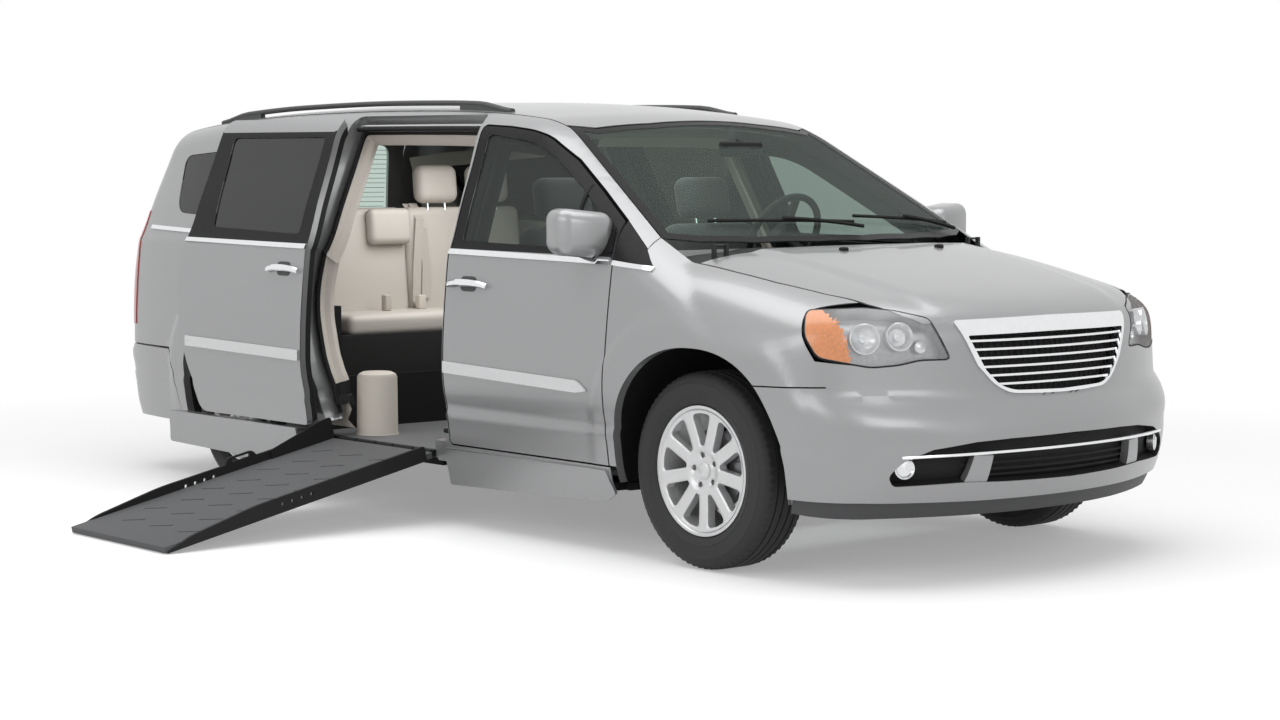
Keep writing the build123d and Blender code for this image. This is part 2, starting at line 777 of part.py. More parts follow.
# Engine, subframe, rear axle, tank and exhaust
keep("engine", box(-200, 440, -330, 330, 300, 820))
subframe_pieces = [box(-160, 160, -460, 460, 200, 300)]
for sign in (1, -1):
    subframe_pieces.append(box(-28, 28, sign * 440, sign * KINGPIN_Y, 225, 255))
    subframe_pieces.append(upright(0, sign * KINGPIN_Y, 36, 225, 255))
subframe = joined(*subframe_pieces)
for sign in (1, -1):
    subframe = cut(subframe, upright(0, sign * KINGPIN_Y, 12 + FIT, 200, 300))
keep("front_frame", joined(front_frame, subframe))

HUB_Y = TRACK / 2
spindle_end = HUB_Y + 59
rear_pieces = [
    box(-WHEELBASE - 34, -WHEELBASE + 34, -640, 640, 310, 370),
    mirrored_box(-WHEELBASE - 20, -WHEELBASE + 20, 560, 610, 340, REAR_FLOOR_TOP - FLOOR_THICK),
    across(-WHEELBASE, TYRE_RADIUS, SPINDLE_RADIUS, -spindle_end, spindle_end),
]
keep("rear_axle", joined(*rear_pieces))
keep("fuel_tank", box(-3900, -3240, -420, 420, 270, REAR_FLOOR_TOP - FLOOR_THICK))
with BuildPart() as pipe:
    with BuildSketch(Plane(origin=(-260, 0, 200), z_dir=(-1, 0, 0))):
        with Locations((0, 0)):
            Circle(24)
    extrude(amount=3700)
exhaust = joined(
    pipe.part.moved(Location((0, 520, 0))),
    box(-1500, -1000, 430, 610, 165, FLOOR_BOTTOM),
    box(-2300, -2270, 500, 540, 200, FLOOR_BOTTOM),
    box(-3800, -3770, 500, 540, 200, REAR_FLOOR_TOP - FLOOR_THICK),
)
keep("exhaust", exhaust)

# Knuckles that steer the front wheels
for word, sign in (("left", 1), ("right", -1)):
    low, high = sorted((sign * KINGPIN_Y, sign * 760))
    inner, outer = sorted((sign * KINGPIN_Y, sign * spindle_end))
    knuckle = joined(
        upright(0, sign * KINGPIN_Y, 34, 262, 800),
        upright(0, sign * KINGPIN_Y, 12, 222, 264),
        box(-55, 55, low, high, 300, 416),
        across(0, TYRE_RADIUS, SPINDLE_RADIUS, inner, outer),
    )
    keep(f"knuckle_front_{word}", knuckle)

# Wheels
with BuildPart() as rim:
    with BuildSketch(Plane.XZ):
        with BuildLine():
            Polyline(
                (196, -95),
                (RIM_RADIUS, -95),
                (RIM_RADIUS, -87),
                (215, -83),
                (215, 83),
                (RIM_RADIUS, 87),
                (RIM_RADIUS, 95),
                (211, 95),
                (203, 60),
                (82, 78),
                (0, 82),
                (0, 64),
                (SPINDLE_RADIUS + FIT, 64),
                (SPINDLE_RADIUS + FIT, -20),
                (75, -20),
                (75, 44),
                (196, 26),
                close=True,
            )
        make_face()
    revolve(axis=Axis.Z)
    window = outline(Plane.XY, [(108, -17, 8), (192, -42, 14), (192, 42, 14), (108, 17, 8)])
    with BuildSketch(Plane.XY):
        with PolarLocations(0, SPOKES):
            add(window)
    extrude(amount=200, both=True, mode=Mode.SUBTRACT)
with BuildPart() as tyre:
    half = TYRE_WIDTH / 2
    with BuildSketch(Plane.XZ):
        with BuildLine():
            Polyline((215.3, 82), (238, 86), (262, 106))
            ThreePointArc((262, 106), (292, half), (328, 104))
            ThreePointArc((328, 104), (348, 94), (TYRE_RADIUS, 74))
            Line((TYRE_RADIUS, 74), (TYRE_RADIUS, -74))
            ThreePointArc((TYRE_RADIUS, -74), (348, -94), (328, -104))
            ThreePointArc((328, -104), (292, -half), (262, -106))
            Polyline((262, -106), (238, -86), (215.3, -82))
            Line((215.3, -82), (215.3, 82))
        make_face()
    revolve(axis=Axis.Z)
for place, x in (("front", 0), ("rear", -WHEELBASE)):
    for word, sign in (("left", 1), ("right", -1)):
        spot = Location((x, sign * HUB_Y, TYRE_RADIUS), (-sign * 90, 0, 0))
        keep(f"rim_{place}_{word}", rim.part.moved(spot))
        keep(f"tyre_{place}_{word}", tyre.part.moved(spot))

# Ramp, drawn flat from its hinge and then tilted to the ground
ramp_reach = RAMP_HINGE_Y - RAMP_TIP_Y
ramp_drop = RAMP_HINGE_Z - RAMP_THICK / 2 - 0.5
ramp_slope = math.degrees(math.atan2(ramp_drop, ramp_reach))
ramp_length = math.hypot(ramp_reach, ramp_drop)
half_ramp = RAMP_WIDTH / 2
# Hinge knuckles along the ramp's edge, and those of the sill between them
knuckle_end = half_ramp - 40
RAMP_KNUCKLES = [(-knuckle_end, 120 - knuckle_end), (-60, 60), (knuckle_end - 120, knuckle_end)]
SILL_KNUCKLES = [
    (-knuckle_end - 15, -knuckle_end - 8),
    (128 - knuckle_end, -68),
    (68, knuckle_end - 128),
    (knuckle_end + 8, knuckle_end + 15),
]
ramp_pieces = [
    box(-half_ramp, half_ramp, -ramp_length, -RAMP_KNUCKLE - 8, -RAMP_THICK / 2, RAMP_THICK / 2),
]
for sign in (1, -1):
    low, high = sorted((sign * half_ramp, sign * (half_ramp - 16)))
    rail = box(low, high, -ramp_length + 70, -60, -RAMP_THICK / 2, RAMP_RAIL - RAMP_THICK / 2)
    for hole in range(4):
        with BuildPart() as drill:
            with BuildSketch(Plane(origin=(low - 5, -260 - hole * 270, 26), z_dir=(1, 0, 0))):
                Circle(15)
            extrude(amount=30)
        rail = cut(rail, drill.part)
    ramp_pieces.append(rail)
for x0, x1 in RAMP_KNUCKLES:
    with BuildPart() as tube:
        with BuildSketch(Plane(origin=(x0, 0, 0), z_dir=(1, 0, 0))):
            Circle(RAMP_KNUCKLE)
        extrude(amount=x1 - x0)
    ramp_pieces.append(joined(tube.part, box(x0, x1, -RAMP_KNUCKLE - 10, 0, -RAMP_THICK / 2, RAMP_THICK / 2)))
with BuildPart() as ramp_bore:
    with BuildSketch(Plane(origin=(-400, 0, 0), z_dir=(1, 0, 0))):
        Circle(RAMP_PIN + FIT)
    extrude(amount=800)
ramp = cut(joined(*ramp_pieces), ramp_bore.part)
ramp_place = Location((RAMP_MIDDLE, RAMP_HINGE_Y, RAMP_HINGE_Z))
keep("ramp", ramp_place * Rot(ramp_slope, 0, 0) * ramp)
sill_pieces = []
with BuildPart() as ramp_pin:
    with BuildSketch(Plane(origin=(-knuckle_end - 15, 0, 0), z_dir=(1, 0, 0))):
        Circle(RAMP_PIN)
    extrude(amount=2 * (knuckle_end + 15))
sill_pieces.append(ramp_pin.part)
for x0, x1 in SILL_KNUCKLES:
    with BuildPart() as tube:
        with BuildSketch(Plane(origin=(x0, 0, 0), z_dir=(1, 0, 0))):
            Circle(RAMP_KNUCKLE)
        extrude(amount=x1 - x0)
    sill_pieces.append(tube.part)
    sill_pieces.append(box(x0, x1, 0, 62, -RAMP_KNUCKLE, 0))
    sill_pieces.append(box(x0, x1, 40, 62, -53, 0))
sill_pieces.append(box(-knuckle_end - 15, knuckle_end + 15, 40, 62, -53, -20))
keep("ramp_sill", ramp_place * joined(*sill_pieces))

HEAD_REST = 230

# Dashboard and steering wheel
DASH_ROWS = [
    (-520, 700, 0),
    (-520, 1090, 40),
    (-800, 1118, 60),
    (-868, 1060, 50),
    (-850, 880, 60),
    (-700, 700, 40),
]
WHEEL_PLACE = Location((-922, 380, 1153), (0, 90 + 25, 0))
with BuildPart() as column:
    with Locations(WHEEL_PLACE):
        Cylinder(18, 150, align=(Align.CENTER, Align.CENTER, Align.MIN))
with BuildPart() as column_bore:
    with Locations(WHEEL_PLACE):
        Cylinder(18 + FIT, 260, align=(Align.CENTER, Align.CENTER, Align.MIN))
dashboard = cut(side_block(grown(DASH_ROWS, 0), -790, 790), column_bore.part)
keep("dashboard", dashboard)
with BuildPart() as steering_wheel:
    Torus(184, 15)
    Cylinder(58, 44)
    Box(340, 34, 16)
    with Locations((85, 0, 0)):
        Box(200, 44, 16)
steering = joined(WHEEL_PLACE * steering_wheel.part, column.part)
keep("steering_wheel", steering)


def seat(x, y0, y1, floor, cushion, top, depth):
    lean = 0.2 * (top - cushion)
    rows_cushion = [
        (x, floor, 0),
        (x, cushion, 50),
        (x - depth, cushion - 40, 0),
        (x - depth - lean, top, 50),
        (x - depth - lean - 120, top - 10, 50),
        (x - depth - 130, floor + 60, 40),
        (x - depth - 60, floor, 0),
    ]
    return side_block(grown(rows_cushion, 0), y0, y1)


def head_rest(x, y, z):
    rows = [(x, z, 30), (x - 24, z + 170, 40), (x - 110, z + 160, 40), (x - 90, z, 30)]
    rest = side_block(grown(rows, 0), y - HEAD_REST / 2, y + HEAD_REST / 2)
    stems = [upright(x - 50, y + side, 6, z - 90, z + 30) for side in (-50, 50)]
    return joined(rest, *stems)


front_seat = joined(
    seat(-760, 140, 640, 400, 610, 1230, 470),
    head_rest(-1330, 390, 1262),
    box(-1260, -840, 190, 590, FLOOR_TOP, 402),
)
keep("front_seats", both_sides(front_seat))
# The bench has two raised head restraints and one folded down in front of its back
folded_rows = [(-2985, 1080, 20), (-3005, 1240, 30), (-3070, 1240, 0), (-3060, 1080, 0)]
bench = joined(
    seat(-2620, -620, 620, REAR_FLOOR_TOP, 785, 1250, 350),
    side_block(grown(folded_rows, 0), -310, -80),
    head_rest(-3070, 115, 1275),
    head_rest(-3070, 420, 1275),
)
keep("rear_seat", bench)

# Post and trim inside the doorway
POST_RADIUS = 88
keep("interior_trim", both_sides(upright(-2330, 700, POST_RADIUS, FLOOR_TOP, 562)))

# Mirrors
with BuildPart() as mirror_head:
    with BuildSketch(Plane.YZ):
        with Locations((1030, 1228)):
            RectangleRounded(180, 150, 45)
    extrude(amount=60, both=True)
mirror_left = joined(
    mirror_head.part.moved(Location((-560, 0, 0))),
    within(cut(box(-600, -520, 800, 980, 1146, 1186), IN_PANEL), box(-700, -500, 700, 1000, 1100, 1300)),
)
mirror_left = cut(mirror_left, DOOR_SHELL)
keep("mirror_left", mirror_left)
keep("mirror_right", other_side(mirror_left))

# Roof rails
RAIL_ROWS = [
    (-1480, 1700, 0),
    (-1640, 1762, 60),
    (-3480, 1748, 60),
    (-3700, 1672, 0),
    (-3600, 1660, 0),
    (-3400, 1718, 60),
    (-1700, 1732, 60),
    (-1600, 1690, 0),
]
roof_rail = cut(side_block(grown(RAIL_ROWS, 0), 602, 632), OUTER)
keep("roof_rails", both_sides(roof_rail))
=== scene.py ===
"""Looks of a wheelchair accessible van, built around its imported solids.

Shapes are drawn in the van's own axes: x forward from the front axle, y to its left and z up.
place() moves them into the row's frame.
"""

import math

import bpy
import numpy as np
from mathutils import Matrix, Vector
from mathutils.geometry import delaunay_2d_cdt


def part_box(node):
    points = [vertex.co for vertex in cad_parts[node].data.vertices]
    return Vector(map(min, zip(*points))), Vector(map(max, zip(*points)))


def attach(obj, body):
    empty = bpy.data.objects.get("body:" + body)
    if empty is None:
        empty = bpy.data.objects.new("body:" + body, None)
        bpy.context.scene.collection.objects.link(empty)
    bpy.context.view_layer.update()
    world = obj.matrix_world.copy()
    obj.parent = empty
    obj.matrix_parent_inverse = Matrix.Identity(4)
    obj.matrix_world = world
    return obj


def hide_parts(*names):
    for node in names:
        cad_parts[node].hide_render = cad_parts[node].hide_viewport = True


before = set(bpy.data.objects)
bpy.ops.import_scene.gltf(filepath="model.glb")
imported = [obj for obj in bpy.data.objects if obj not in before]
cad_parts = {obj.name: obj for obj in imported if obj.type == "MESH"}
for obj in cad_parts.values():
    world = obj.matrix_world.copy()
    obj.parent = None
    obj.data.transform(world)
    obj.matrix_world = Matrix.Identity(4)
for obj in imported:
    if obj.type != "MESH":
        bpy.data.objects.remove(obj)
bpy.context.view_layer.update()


def middle(node):
    low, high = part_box(node)
    return (low + high) / 2


# The van's own origin in the row's frame
HUB_LEFT = middle("tyre_front_left")
HUB_RIGHT = middle("tyre_front_right")
ORIGIN = np.array([HUB_LEFT.x, (HUB_LEFT.y + HUB_RIGHT.y) / 2, 0.0])
HUB_Y = (HUB_LEFT.y - HUB_RIGHT.y) / 2
AXLE_Z = HUB_LEFT.z
WHEELBASE = HUB_LEFT.x - middle("tyre_rear_left").x

# The ramp's sides and tip, from its solid, and its hinge
ramp_low, ramp_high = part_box("ramp")
RAMP_X0, RAMP_X1 = ramp_low.x - ORIGIN[0], ramp_high.x - ORIGIN[0]
RAMP_TIP_Y = ramp_low.y - ORIGIN[1]
RAMP_HINGE = (-0.930, 0.285)
RAMP_ROOM = 0.015
GAP_TOP = 0.430
LINING_LOW = 0.50

# Door travel of the open sliding door, seams and panel depths
SLIDE_BACK = 0.855
SLIDE_OUT = 0.108
SEAM = 0.007
SKIN = 0.0035
LAND = 0.024
REBATE = 0.078
WALL = 0.12
SEAL_RADIUS = 0.010
ARCH_RADIUS = 0.432
ARCH_X = 0.015
ARCH_POWER = 2.25
ARCH_RISE = 0.008
ARCH_TALLER = 0.006
BELT_X, BELT_Z, BELT_SLOPE = -0.35, 1.112, 0.008
SILL_Z = 0.262
ROOF_SIDE = 0.657
STEP = 0.022
ARCH_LOW = 0.27
FLIP_FIRST = np.array([-1, 1])
FLIP_SECOND = np.array([1, -1])


# Curves and surfaces


def curve(rows):
    """Smooth curve through rows of place and value, without overshoot."""
    x = np.array([r[0] for r in rows], float)
    y = np.array([r[1] for r in rows], float)
    order = np.argsort(x)
    x, y = x[order], y[order]
    gaps = np.diff(x)
    slopes = np.diff(y) / gaps
    tangents = np.zeros(len(x))
    tangents[0], tangents[-1] = slopes[0], slopes[-1]
    same = slopes[1:] * slopes[:-1] > 0
    with np.errstate(divide="ignore", invalid="ignore"):
        mean = 2 * slopes[1:] * slopes[:-1] / (slopes[1:] + slopes[:-1])
    tangents[1:-1] = np.where(same, mean, 0.0)

    def value(at):
        at = np.asarray(at, float)
        clipped = np.clip(at, x[0], x[-1])
        k = np.clip(np.searchsorted(x, clipped) - 1, 0, len(x) - 2)
        t = (clipped - x[k]) / gaps[k]
        h00 = 2 * t**3 - 3 * t**2 + 1
        h10 = t**3 - 2 * t**2 + t
        h01 = 3 * t**2 - 2 * t**3
        h11 = t**3 - t**2
        inside = h00 * y[k] + h10 * gaps[k] * tangents[k] + h01 * y[k + 1] + h11 * gaps[k] * tangents[k + 1]
        below = np.minimum(at - x[0], 0) * tangents[0]
        above = np.maximum(at - x[-1], 0) * tangents[-1]
        return inside + below + above

    return value


def soft_max(a, b, width):
    h = np.clip(0.5 + 0.5 * (a - b) / width, 0, 1)
    return b + (a - b) * h + width * h * (1 - h)


def smooth(t):
    t = np.clip(t, 0, 1)
    return t * t * (3 - 2 * t)


# Half width of the body: height, half width
half_width = curve([
    (0.16, 0.920), (0.25, 0.940), (0.33, 0.958), (0.42, 0.969), (0.468, 0.9765), (0.484, 0.9735),
    (0.50, 0.977), (0.56, 0.989), (0.64, 0.996), (0.75, 0.994), (0.88, 0.986), (1.0, 0.975),
    (1.08, 0.966), (1.104, 0.962), (1.118, 0.953), (1.30, 0.876), (1.45, 0.808), (1.60, 0.742), (1.75, 0.66),
])
# Narrowing towards both ends: along, share of the half width
plan_share = curve([
    (0.95, 0.60), (0.86, 0.73), (0.78, 0.83), (0.70, 0.888), (0.62, 0.922), (0.50, 0.952), (0.35, 0.973),
    (0.15, 0.986), (-0.15, 0.995), (-0.45, 1.0), (-2.9, 1.0), (-3.4, 0.987), (-3.8, 0.962), (-4.05, 0.925),
    (-4.2, 0.86),
])
hood_line = curve([
    (0.95, 0.76), (0.89, 0.87), (0.86, 0.905), (0.831, 0.932), (0.76, 0.968), (0.65, 1.003), (0.50, 1.043),
    (0.35, 1.078), (0.20, 1.110), (0.05, 1.138), (-0.03, 1.150), (-0.15, 1.165), (-0.40, 1.19),
])
hood_crown = curve([
    (0.0, 0.0), (0.3, 0.004), (0.6, 0.018), (0.7, 0.032), (0.8, 0.056), (0.87, 0.088), (0.915, 0.128),
    (0.96, 0.20), (1.0, 0.30), (1.1, 0.6),
])
nose_line = curve([
    (0.16, 0.80), (0.225, 0.862), (0.28, 0.895), (0.33, 0.918), (0.40, 0.940), (0.47, 0.948), (0.53, 0.945),
    (0.58, 0.930), (0.62, 0.908), (0.66, 0.885), (0.75, 0.877), (0.88, 0.868), (0.92, 0.858),
    (0.97, 0.82), (1.2, 0.5),
])
roof_line = curve([
    (-0.6, 1.60), (-0.985, 1.645), (-1.2, 1.675), (-1.5, 1.704), (-1.9, 1.722), (-2.4, 1.728), (-3.0, 1.720),
    (-3.6, 1.690), (-3.96, 1.652), (-4.05, 1.634), (-4.3, 1.57),
])
rear_line = curve([
    (0.16, -4.13), (0.25, -4.165), (0.38, -4.198), (0.56, -4.199), (0.60, -4.150), (0.63, -4.139), (0.90, -4.144),
    (1.13, -4.117), (1.40, -4.080), (1.64, -4.044), (1.8, -4.02),
])
NOSE_CURVE = 1.6
SCREEN_FOOT = (-0.06, 1.168)
SCREEN_SLOPE = 0.477 / 0.925
SCREEN_CURVE = 5.4
ROOF_CURVE = 11.0


def arch_distance(x, z, axle_x):
    """Below 1 inside a wheel arch."""
    across = np.abs((x - axle_x) / ARCH_RADIUS)
    up = np.abs((z - AXLE_Z - ARCH_RISE) / (ARCH_RADIUS + ARCH_TALLER))
    return (across**ARCH_POWER + up**ARCH_POWER) ** (1 / ARCH_POWER)


def side_of(p):
    x, y, z = p.T
    wide = half_width(z) * plan_share(x)
    for axle_x in (ARCH_X, -WHEELBASE):
        ring = arch_distance(x, z, axle_x)
        wide = wide + 0.009 * smooth((1.34 - ring) / 0.06) * smooth((z - 0.2) / 0.3) * smooth((1.02 - z) / 0.2)
    return np.abs(y) - wide


def hood_of(p):
    x, y, z = p.T
    ridge = 0.50 + (0.80 - x) * 0.10
    raised = 0.011 * smooth((ridge + 0.02 - np.abs(y)) / 0.06) * smooth((0.86 - x) / 0.25)
    return z - (hood_line(x) - hood_crown(np.abs(y)) + raised - 0.008)


def nose_of(p):
    x, y, z = p.T
    radius = np.maximum(NOSE_CURVE**2 - y**2, 0.01)
    shoulder = 0.016 * smooth((np.abs(y) - 0.45) / 0.3) * smooth((0.665 - z) / 0.03) * smooth((z - 0.50) / 0.08)
    return x - (nose_line(z) - NOSE_CURVE + np.sqrt(radius) + shoulder)


def front_body(p):
    return soft_max(soft_max(side_of(p), hood_of(p), 0.05), nose_of(p), 0.10)


def cabin_body(p):
    x, y, z = p.T
    screen = z - (SCREEN_FOOT[1] + (SCREEN_FOOT[0] - x) * SCREEN_SLOPE - y**2 / SCREEN_CURVE)
    roof = z - (roof_line(x) - y**2 / ROOF_CURVE)
    rear = rear_line(z) + 0.07 * y**2 - x
    top = soft_max(screen, roof, 0.05)
    return soft_max(soft_max(side_of(p), top, 0.09), rear, 0.09)


def normals_of(surface, p):
    small = 0.002
    grad = np.zeros_like(p)
    for axis in range(3):
        shift = np.zeros(3)
        shift[axis] = small
        grad[:, axis] = surface(p + shift) - surface(p - shift)
    return grad / np.maximum(np.linalg.norm(grad, axis=1, keepdims=True), 1e-9)


def meet(surface, start, heading, reach):
    """Where rays first come down onto the surface."""
    near = np.zeros(len(start))
    far = np.full(len(start), reach)
    for _ in range(34):
        mid = (near + far) / 2
        outside = surface(start + heading * mid[:, None]) > 0
        near = np.where(outside, mid, near)
        far = np.where(outside, far, mid)
    return start + heading * near[:, None]


def on_side(surface, rows):
    """Left-hand points of the surface from rows of along and up."""
    rows = np.array([r[:2] for r in rows], float)
    start = np.column_stack([rows[:, 0], np.full(len(rows), 1.6), rows[:, 1]])
    return meet(surface, start, np.tile([0.0, -1.0, 0.0], (len(rows), 1)), 1.6)


def flank(rows):
    return on_side(cabin_body, rows)


def on_top(surface, rows):
    """Points of the surface from rows of along and across."""
    rows = np.array([r[:2] for r in rows], float)
    start = np.column_stack([rows[:, 0], rows[:, 1], np.full(len(rows), 2.6)])
    return meet(surface, start, np.tile([0.0, 0.0, -1.0], (len(rows), 1)), 2.2)


def on_end(rows, front=True):
    """Points of the front or the rear from rows of across and up."""
    rows = np.array([r[:2] for r in rows], float)
    side = 1.0 if front else -1.0
    middle_x = 0.3 if front else -3.4
    surface = front_body if front else cabin_body
    start = np.column_stack([np.full(len(rows), middle_x + side * 1.4), rows[:, 0], rows[:, 1]])
    return meet(surface, start, np.tile([-side, 0.0, 0.0], (len(rows), 1)), 1.4)


class Flat:
    """View along one direction, in which a panel is laid out."""

    def __init__(self, *toward):
        self.normal = np.array(toward, float) / np.linalg.norm(toward)
        first = np.cross([0.0, 0.0, 1.0] if abs(self.normal[2]) < 0.9 else [0.0, 1.0, 0.0], self.normal)
        self.first = first / np.linalg.norm(first)
        self.second = np.cross(self.normal, self.first)

    def lay(self, p):
        return np.column_stack([p @ self.first, p @ self.second])

    def lift(self, surface, uv, guide):
        level = guide @ self.normal
        start = uv[:, :1] * self.first + uv[:, 1:] * self.second + self.normal * (level.max() + 0.5)
        heading = np.tile(-self.normal, (len(uv), 1))
        return meet(surface, start, heading, level.max() - level.min() + 1.2)


class Round:
    """View from an upright axis outwards."""

    def __init__(self, axis_x, radius=0.9, rear=False):
        self.axis_x = axis_x
        self.radius = radius
        self.sign = -1.0 if rear else 1.0

    def lay(self, p):
        angle = np.arctan2(p[:, 1], self.sign * (p[:, 0] - self.axis_x))
        return np.column_stack([angle * self.radius, p[:, 2]])

    def lift(self, surface, uv, guide):
        angle = uv[:, 0] / self.radius
        heading = np.column_stack([self.sign * np.cos(angle), np.sin(angle), np.zeros(len(uv))])
        axis = np.column_stack([np.full(len(uv), self.axis_x), np.zeros(len(uv)), uv[:, 1]])
        return meet(surface, axis + heading * 1.6, -heading, 1.5)


# Outlines


def rounded(rows, step=STEP, closed=True):
    """Outline through rows of along, up and corner radius, cut into short pieces."""
    rows = [tuple(r) + (0.0,) * (3 - len(r)) for r in rows]
    count = len(rows)
    points = []
    for k, (a, b, radius) in enumerate(rows):
        here = np.array([a, b])
        if radius <= 0 or (not closed and k in (0, count - 1)):
            points.append(here)
            continue
        before = np.array(rows[k - 1][:2]) - here
        after = np.array(rows[(k + 1) % count][:2]) - here
        reach = min(radius, 0.45 * np.linalg.norm(before), 0.45 * np.linalg.norm(after))
        first = here + before / np.linalg.norm(before) * reach
        last = here + after / np.linalg.norm(after) * reach
        for t in np.linspace(0, 1, 7):
            points.append((1 - t) ** 2 * first + 2 * t * (1 - t) * here + t**2 * last)
    return divided(np.array(points), step, closed)


def divided(points, step=STEP, closed=True):
    ends = np.roll(points, -1, axis=0) if closed else points[1:]
    out = []
    for a, b in zip(points, ends):
        length = np.linalg.norm(b - a)
        if length < 1e-6:
            continue
        pieces = max(1, math.ceil(length / step))
        out.extend(a + (b - a) * t for t in np.arange(pieces) / pieces)
    if not closed:
        out.append(points[-1])
    return np.array(out)


def run(*rows):
    """Open line through rows, cut into short pieces."""
    return divided(np.array(rows, float), STEP, closed=False)


def mirrored(half, flip):
    """Closed outline from one half of it, which starts and ends on the middle line."""
    return np.vstack([half, (half * flip)[::-1][1:-1]])


def area_of(points):
    x, y = points[:, 0], points[:, 1]
    return 0.5 * np.sum(x * np.roll(y, -1) - np.roll(x, -1) * y)


def grown(points, by):
    """Closed outline moved outwards by a distance, point for point."""
    before = points - np.roll(points, 1, axis=0)
    after = np.roll(points, -1, axis=0) - points
    tangent = before / np.linalg.norm(before, axis=1, keepdims=True) + after / np.linalg.norm(
        after, axis=1, keepdims=True,
    )
    tangent /= np.maximum(np.linalg.norm(tangent, axis=1, keepdims=True), 1e-9)
    turn = 1.0 if area_of(points) > 0 else -1.0
    out = np.column_stack([tangent[:, 1], -tangent[:, 0]]) * turn
    before_n = before / np.linalg.norm(before, axis=1, keepdims=True)
    side = np.column_stack([before_n[:, 1], -before_n[:, 0]]) * turn
    stretch = 1 / np.maximum(np.sum(out * side, axis=1, keepdims=True), 0.5)
    return points + out * by * stretch


def inside(polygon, q):
    """Which points lie in a closed outline."""
    x, y = q[:, 0][:, None], q[:, 1][:, None]
    ax, ay = polygon[:, 0][None], polygon[:, 1][None]
    bx, by = np.roll(polygon[:, 0], -1)[None], np.roll(polygon[:, 1], -1)[None]
    spans = (ay > y) != (by > y)
    with np.errstate(divide="ignore", invalid="ignore"):
        crossing = ax + (y - ay) * (bx - ax) / (by - ay)
    return np.sum(spans & (x < crossing), axis=1) % 2 == 1


def distance_to(lines, q):
    """Distance of points from the nearest of several runs of segments."""
    best = np.full(len(q), 1e9)
    for line in lines:
        a, b = line[:-1], line[1:]
        d = b - a
        length = np.maximum(np.sum(d * d, axis=1), 1e-12)
        t = np.clip(((q[:, None] - a[None]) * d[None]).sum(2) / length[None], 0, 1)
        gap = np.linalg.norm(q[:, None] - (a[None] + t[..., None] * d[None]), axis=2)
        best = np.minimum(best, gap.min(1))
    return best


def looped(ring):
    return np.vstack([ring, ring[:1]])


def triangulated(rim, holes=(), lines=(), step=STEP):
    """Triangles that fill an outline, with holes and lines kept as edges."""
    runs = [looped(rim)] + [looped(h) for h in holes] + list(lines)
    low, high = rim.min(0), rim.max(0)
    grid = np.stack(
        np.meshgrid(np.arange(low[0], high[0], step), np.arange(low[1], high[1], step)), -1,
    ).reshape(-1, 2)
    grid = grid[inside(rim, grid)]
    for hole in holes:
        grid = grid[~inside(hole, grid)]
    if len(grid):
        grid = grid[distance_to(runs, grid) > 0.45 * step]
    points, edges = [], []
    for run in runs:
        first = len(points)
        closed = np.allclose(run[0], run[-1])
        body = run[:-1] if closed else run
        points.extend(body)
        count = len(body)
        edges.extend((first + k, first + k + 1) for k in range(count - 1))
        if closed:
            edges.append((first + count - 1, first))
    points.extend(grid)
    done = delaunay_2d_cdt([Vector(p) for p in points], edges, [], 0, 1e-6)
    verts = np.array([tuple(v) for v in done[0]])
    tris = np.array([f for f in done[2] if len(f) == 3])
    centres = verts[tris].mean(1)
    keep = inside(rim, centres)
    for hole in holes:
        keep &= ~inside(hole, centres)
    tris = tris[keep]
    used = np.unique(tris)
    again = np.full(len(verts), -1)
    again[used] = np.arange(len(used))
    return verts[used], again[tris]


# Shapes are (points, faces, material number of each face)


def joined(*shapes):
    points, faces, marks = [], [], []
    for p, f, m in shapes:
        shift = sum(len(q) for q in points)
        points.append(np.asarray(p, float))
        faces.extend(tuple(int(k) + shift for k in face) for face in f)
        marks.extend(m)
    return np.vstack(points), faces, marks


def marked(shape, number):
    return shape[0], shape[1], [number] * len(shape[1])


def flipped(shape):
    """The same shape on the van's other side."""
    return shape[0] * [1, -1, 1], [tuple(reversed(f)) for f in shape[1]], list(shape[2])


def moved(shape, *by):
    return shape[0] + np.array(by), shape[1], shape[2]


def for_side(side, shape):
    return shape if side == "left" else flipped(shape)


def both(shape):
    return joined(shape, flipped(shape))


def rim_edges(tris):
    seen = {}
    for a, b, c in tris:
        for edge in ((a, b), (b, c), (c, a)):
            seen[edge] = True
    return [(a, b) for a, b in seen if (b, a) not in seen]


def slab(points, normals, tris, outer, thick, mark=0, marks=None):
    """Closed sheet from triangles, between two distances along their normals."""
    count = len(points)
    a, b, c = (points[tris[:, k]] for k in range(3))
    outward = np.sum(normals[tris[:, 0]] * np.cross(b - a, c - a), axis=1)
    tris = np.where((outward > 0)[:, None], tris, tris[:, ::-1])
    top = [tuple(t) for t in tris]
    low = [tuple(k + count for k in t[::-1]) for t in tris]
    wall = [(j, i, i + count, j + count) for i, j in rim_edges(tris)]
    points = np.vstack([points + normals * outer, points + normals * (outer - thick)])
    face_marks = list(marks) if marks is not None else [mark] * len(top)
    return points, top + low + wall, face_marks + face_marks + [mark] * len(wall)


def panel(surface, view, rim, holes=(), lines=(), out=0.0, thick=SKIN, step=STEP, mark=0, paint=None):
    """Curved sheet on the surface inside an outline; outlines are points on the surface."""
    flat = [view.lay(h) for h in holes]
    uv, tris = triangulated(view.lay(rim), flat, [view.lay(l) for l in lines], step)
    points = view.lift(surface, uv, rim)
    marks = None
    if paint is not None:
        marks = [int(k) for k in paint(points[tris].mean(1), uv[tris].mean(1))]
    return slab(points, normals_of(surface, points), tris, out, thick, mark, marks)


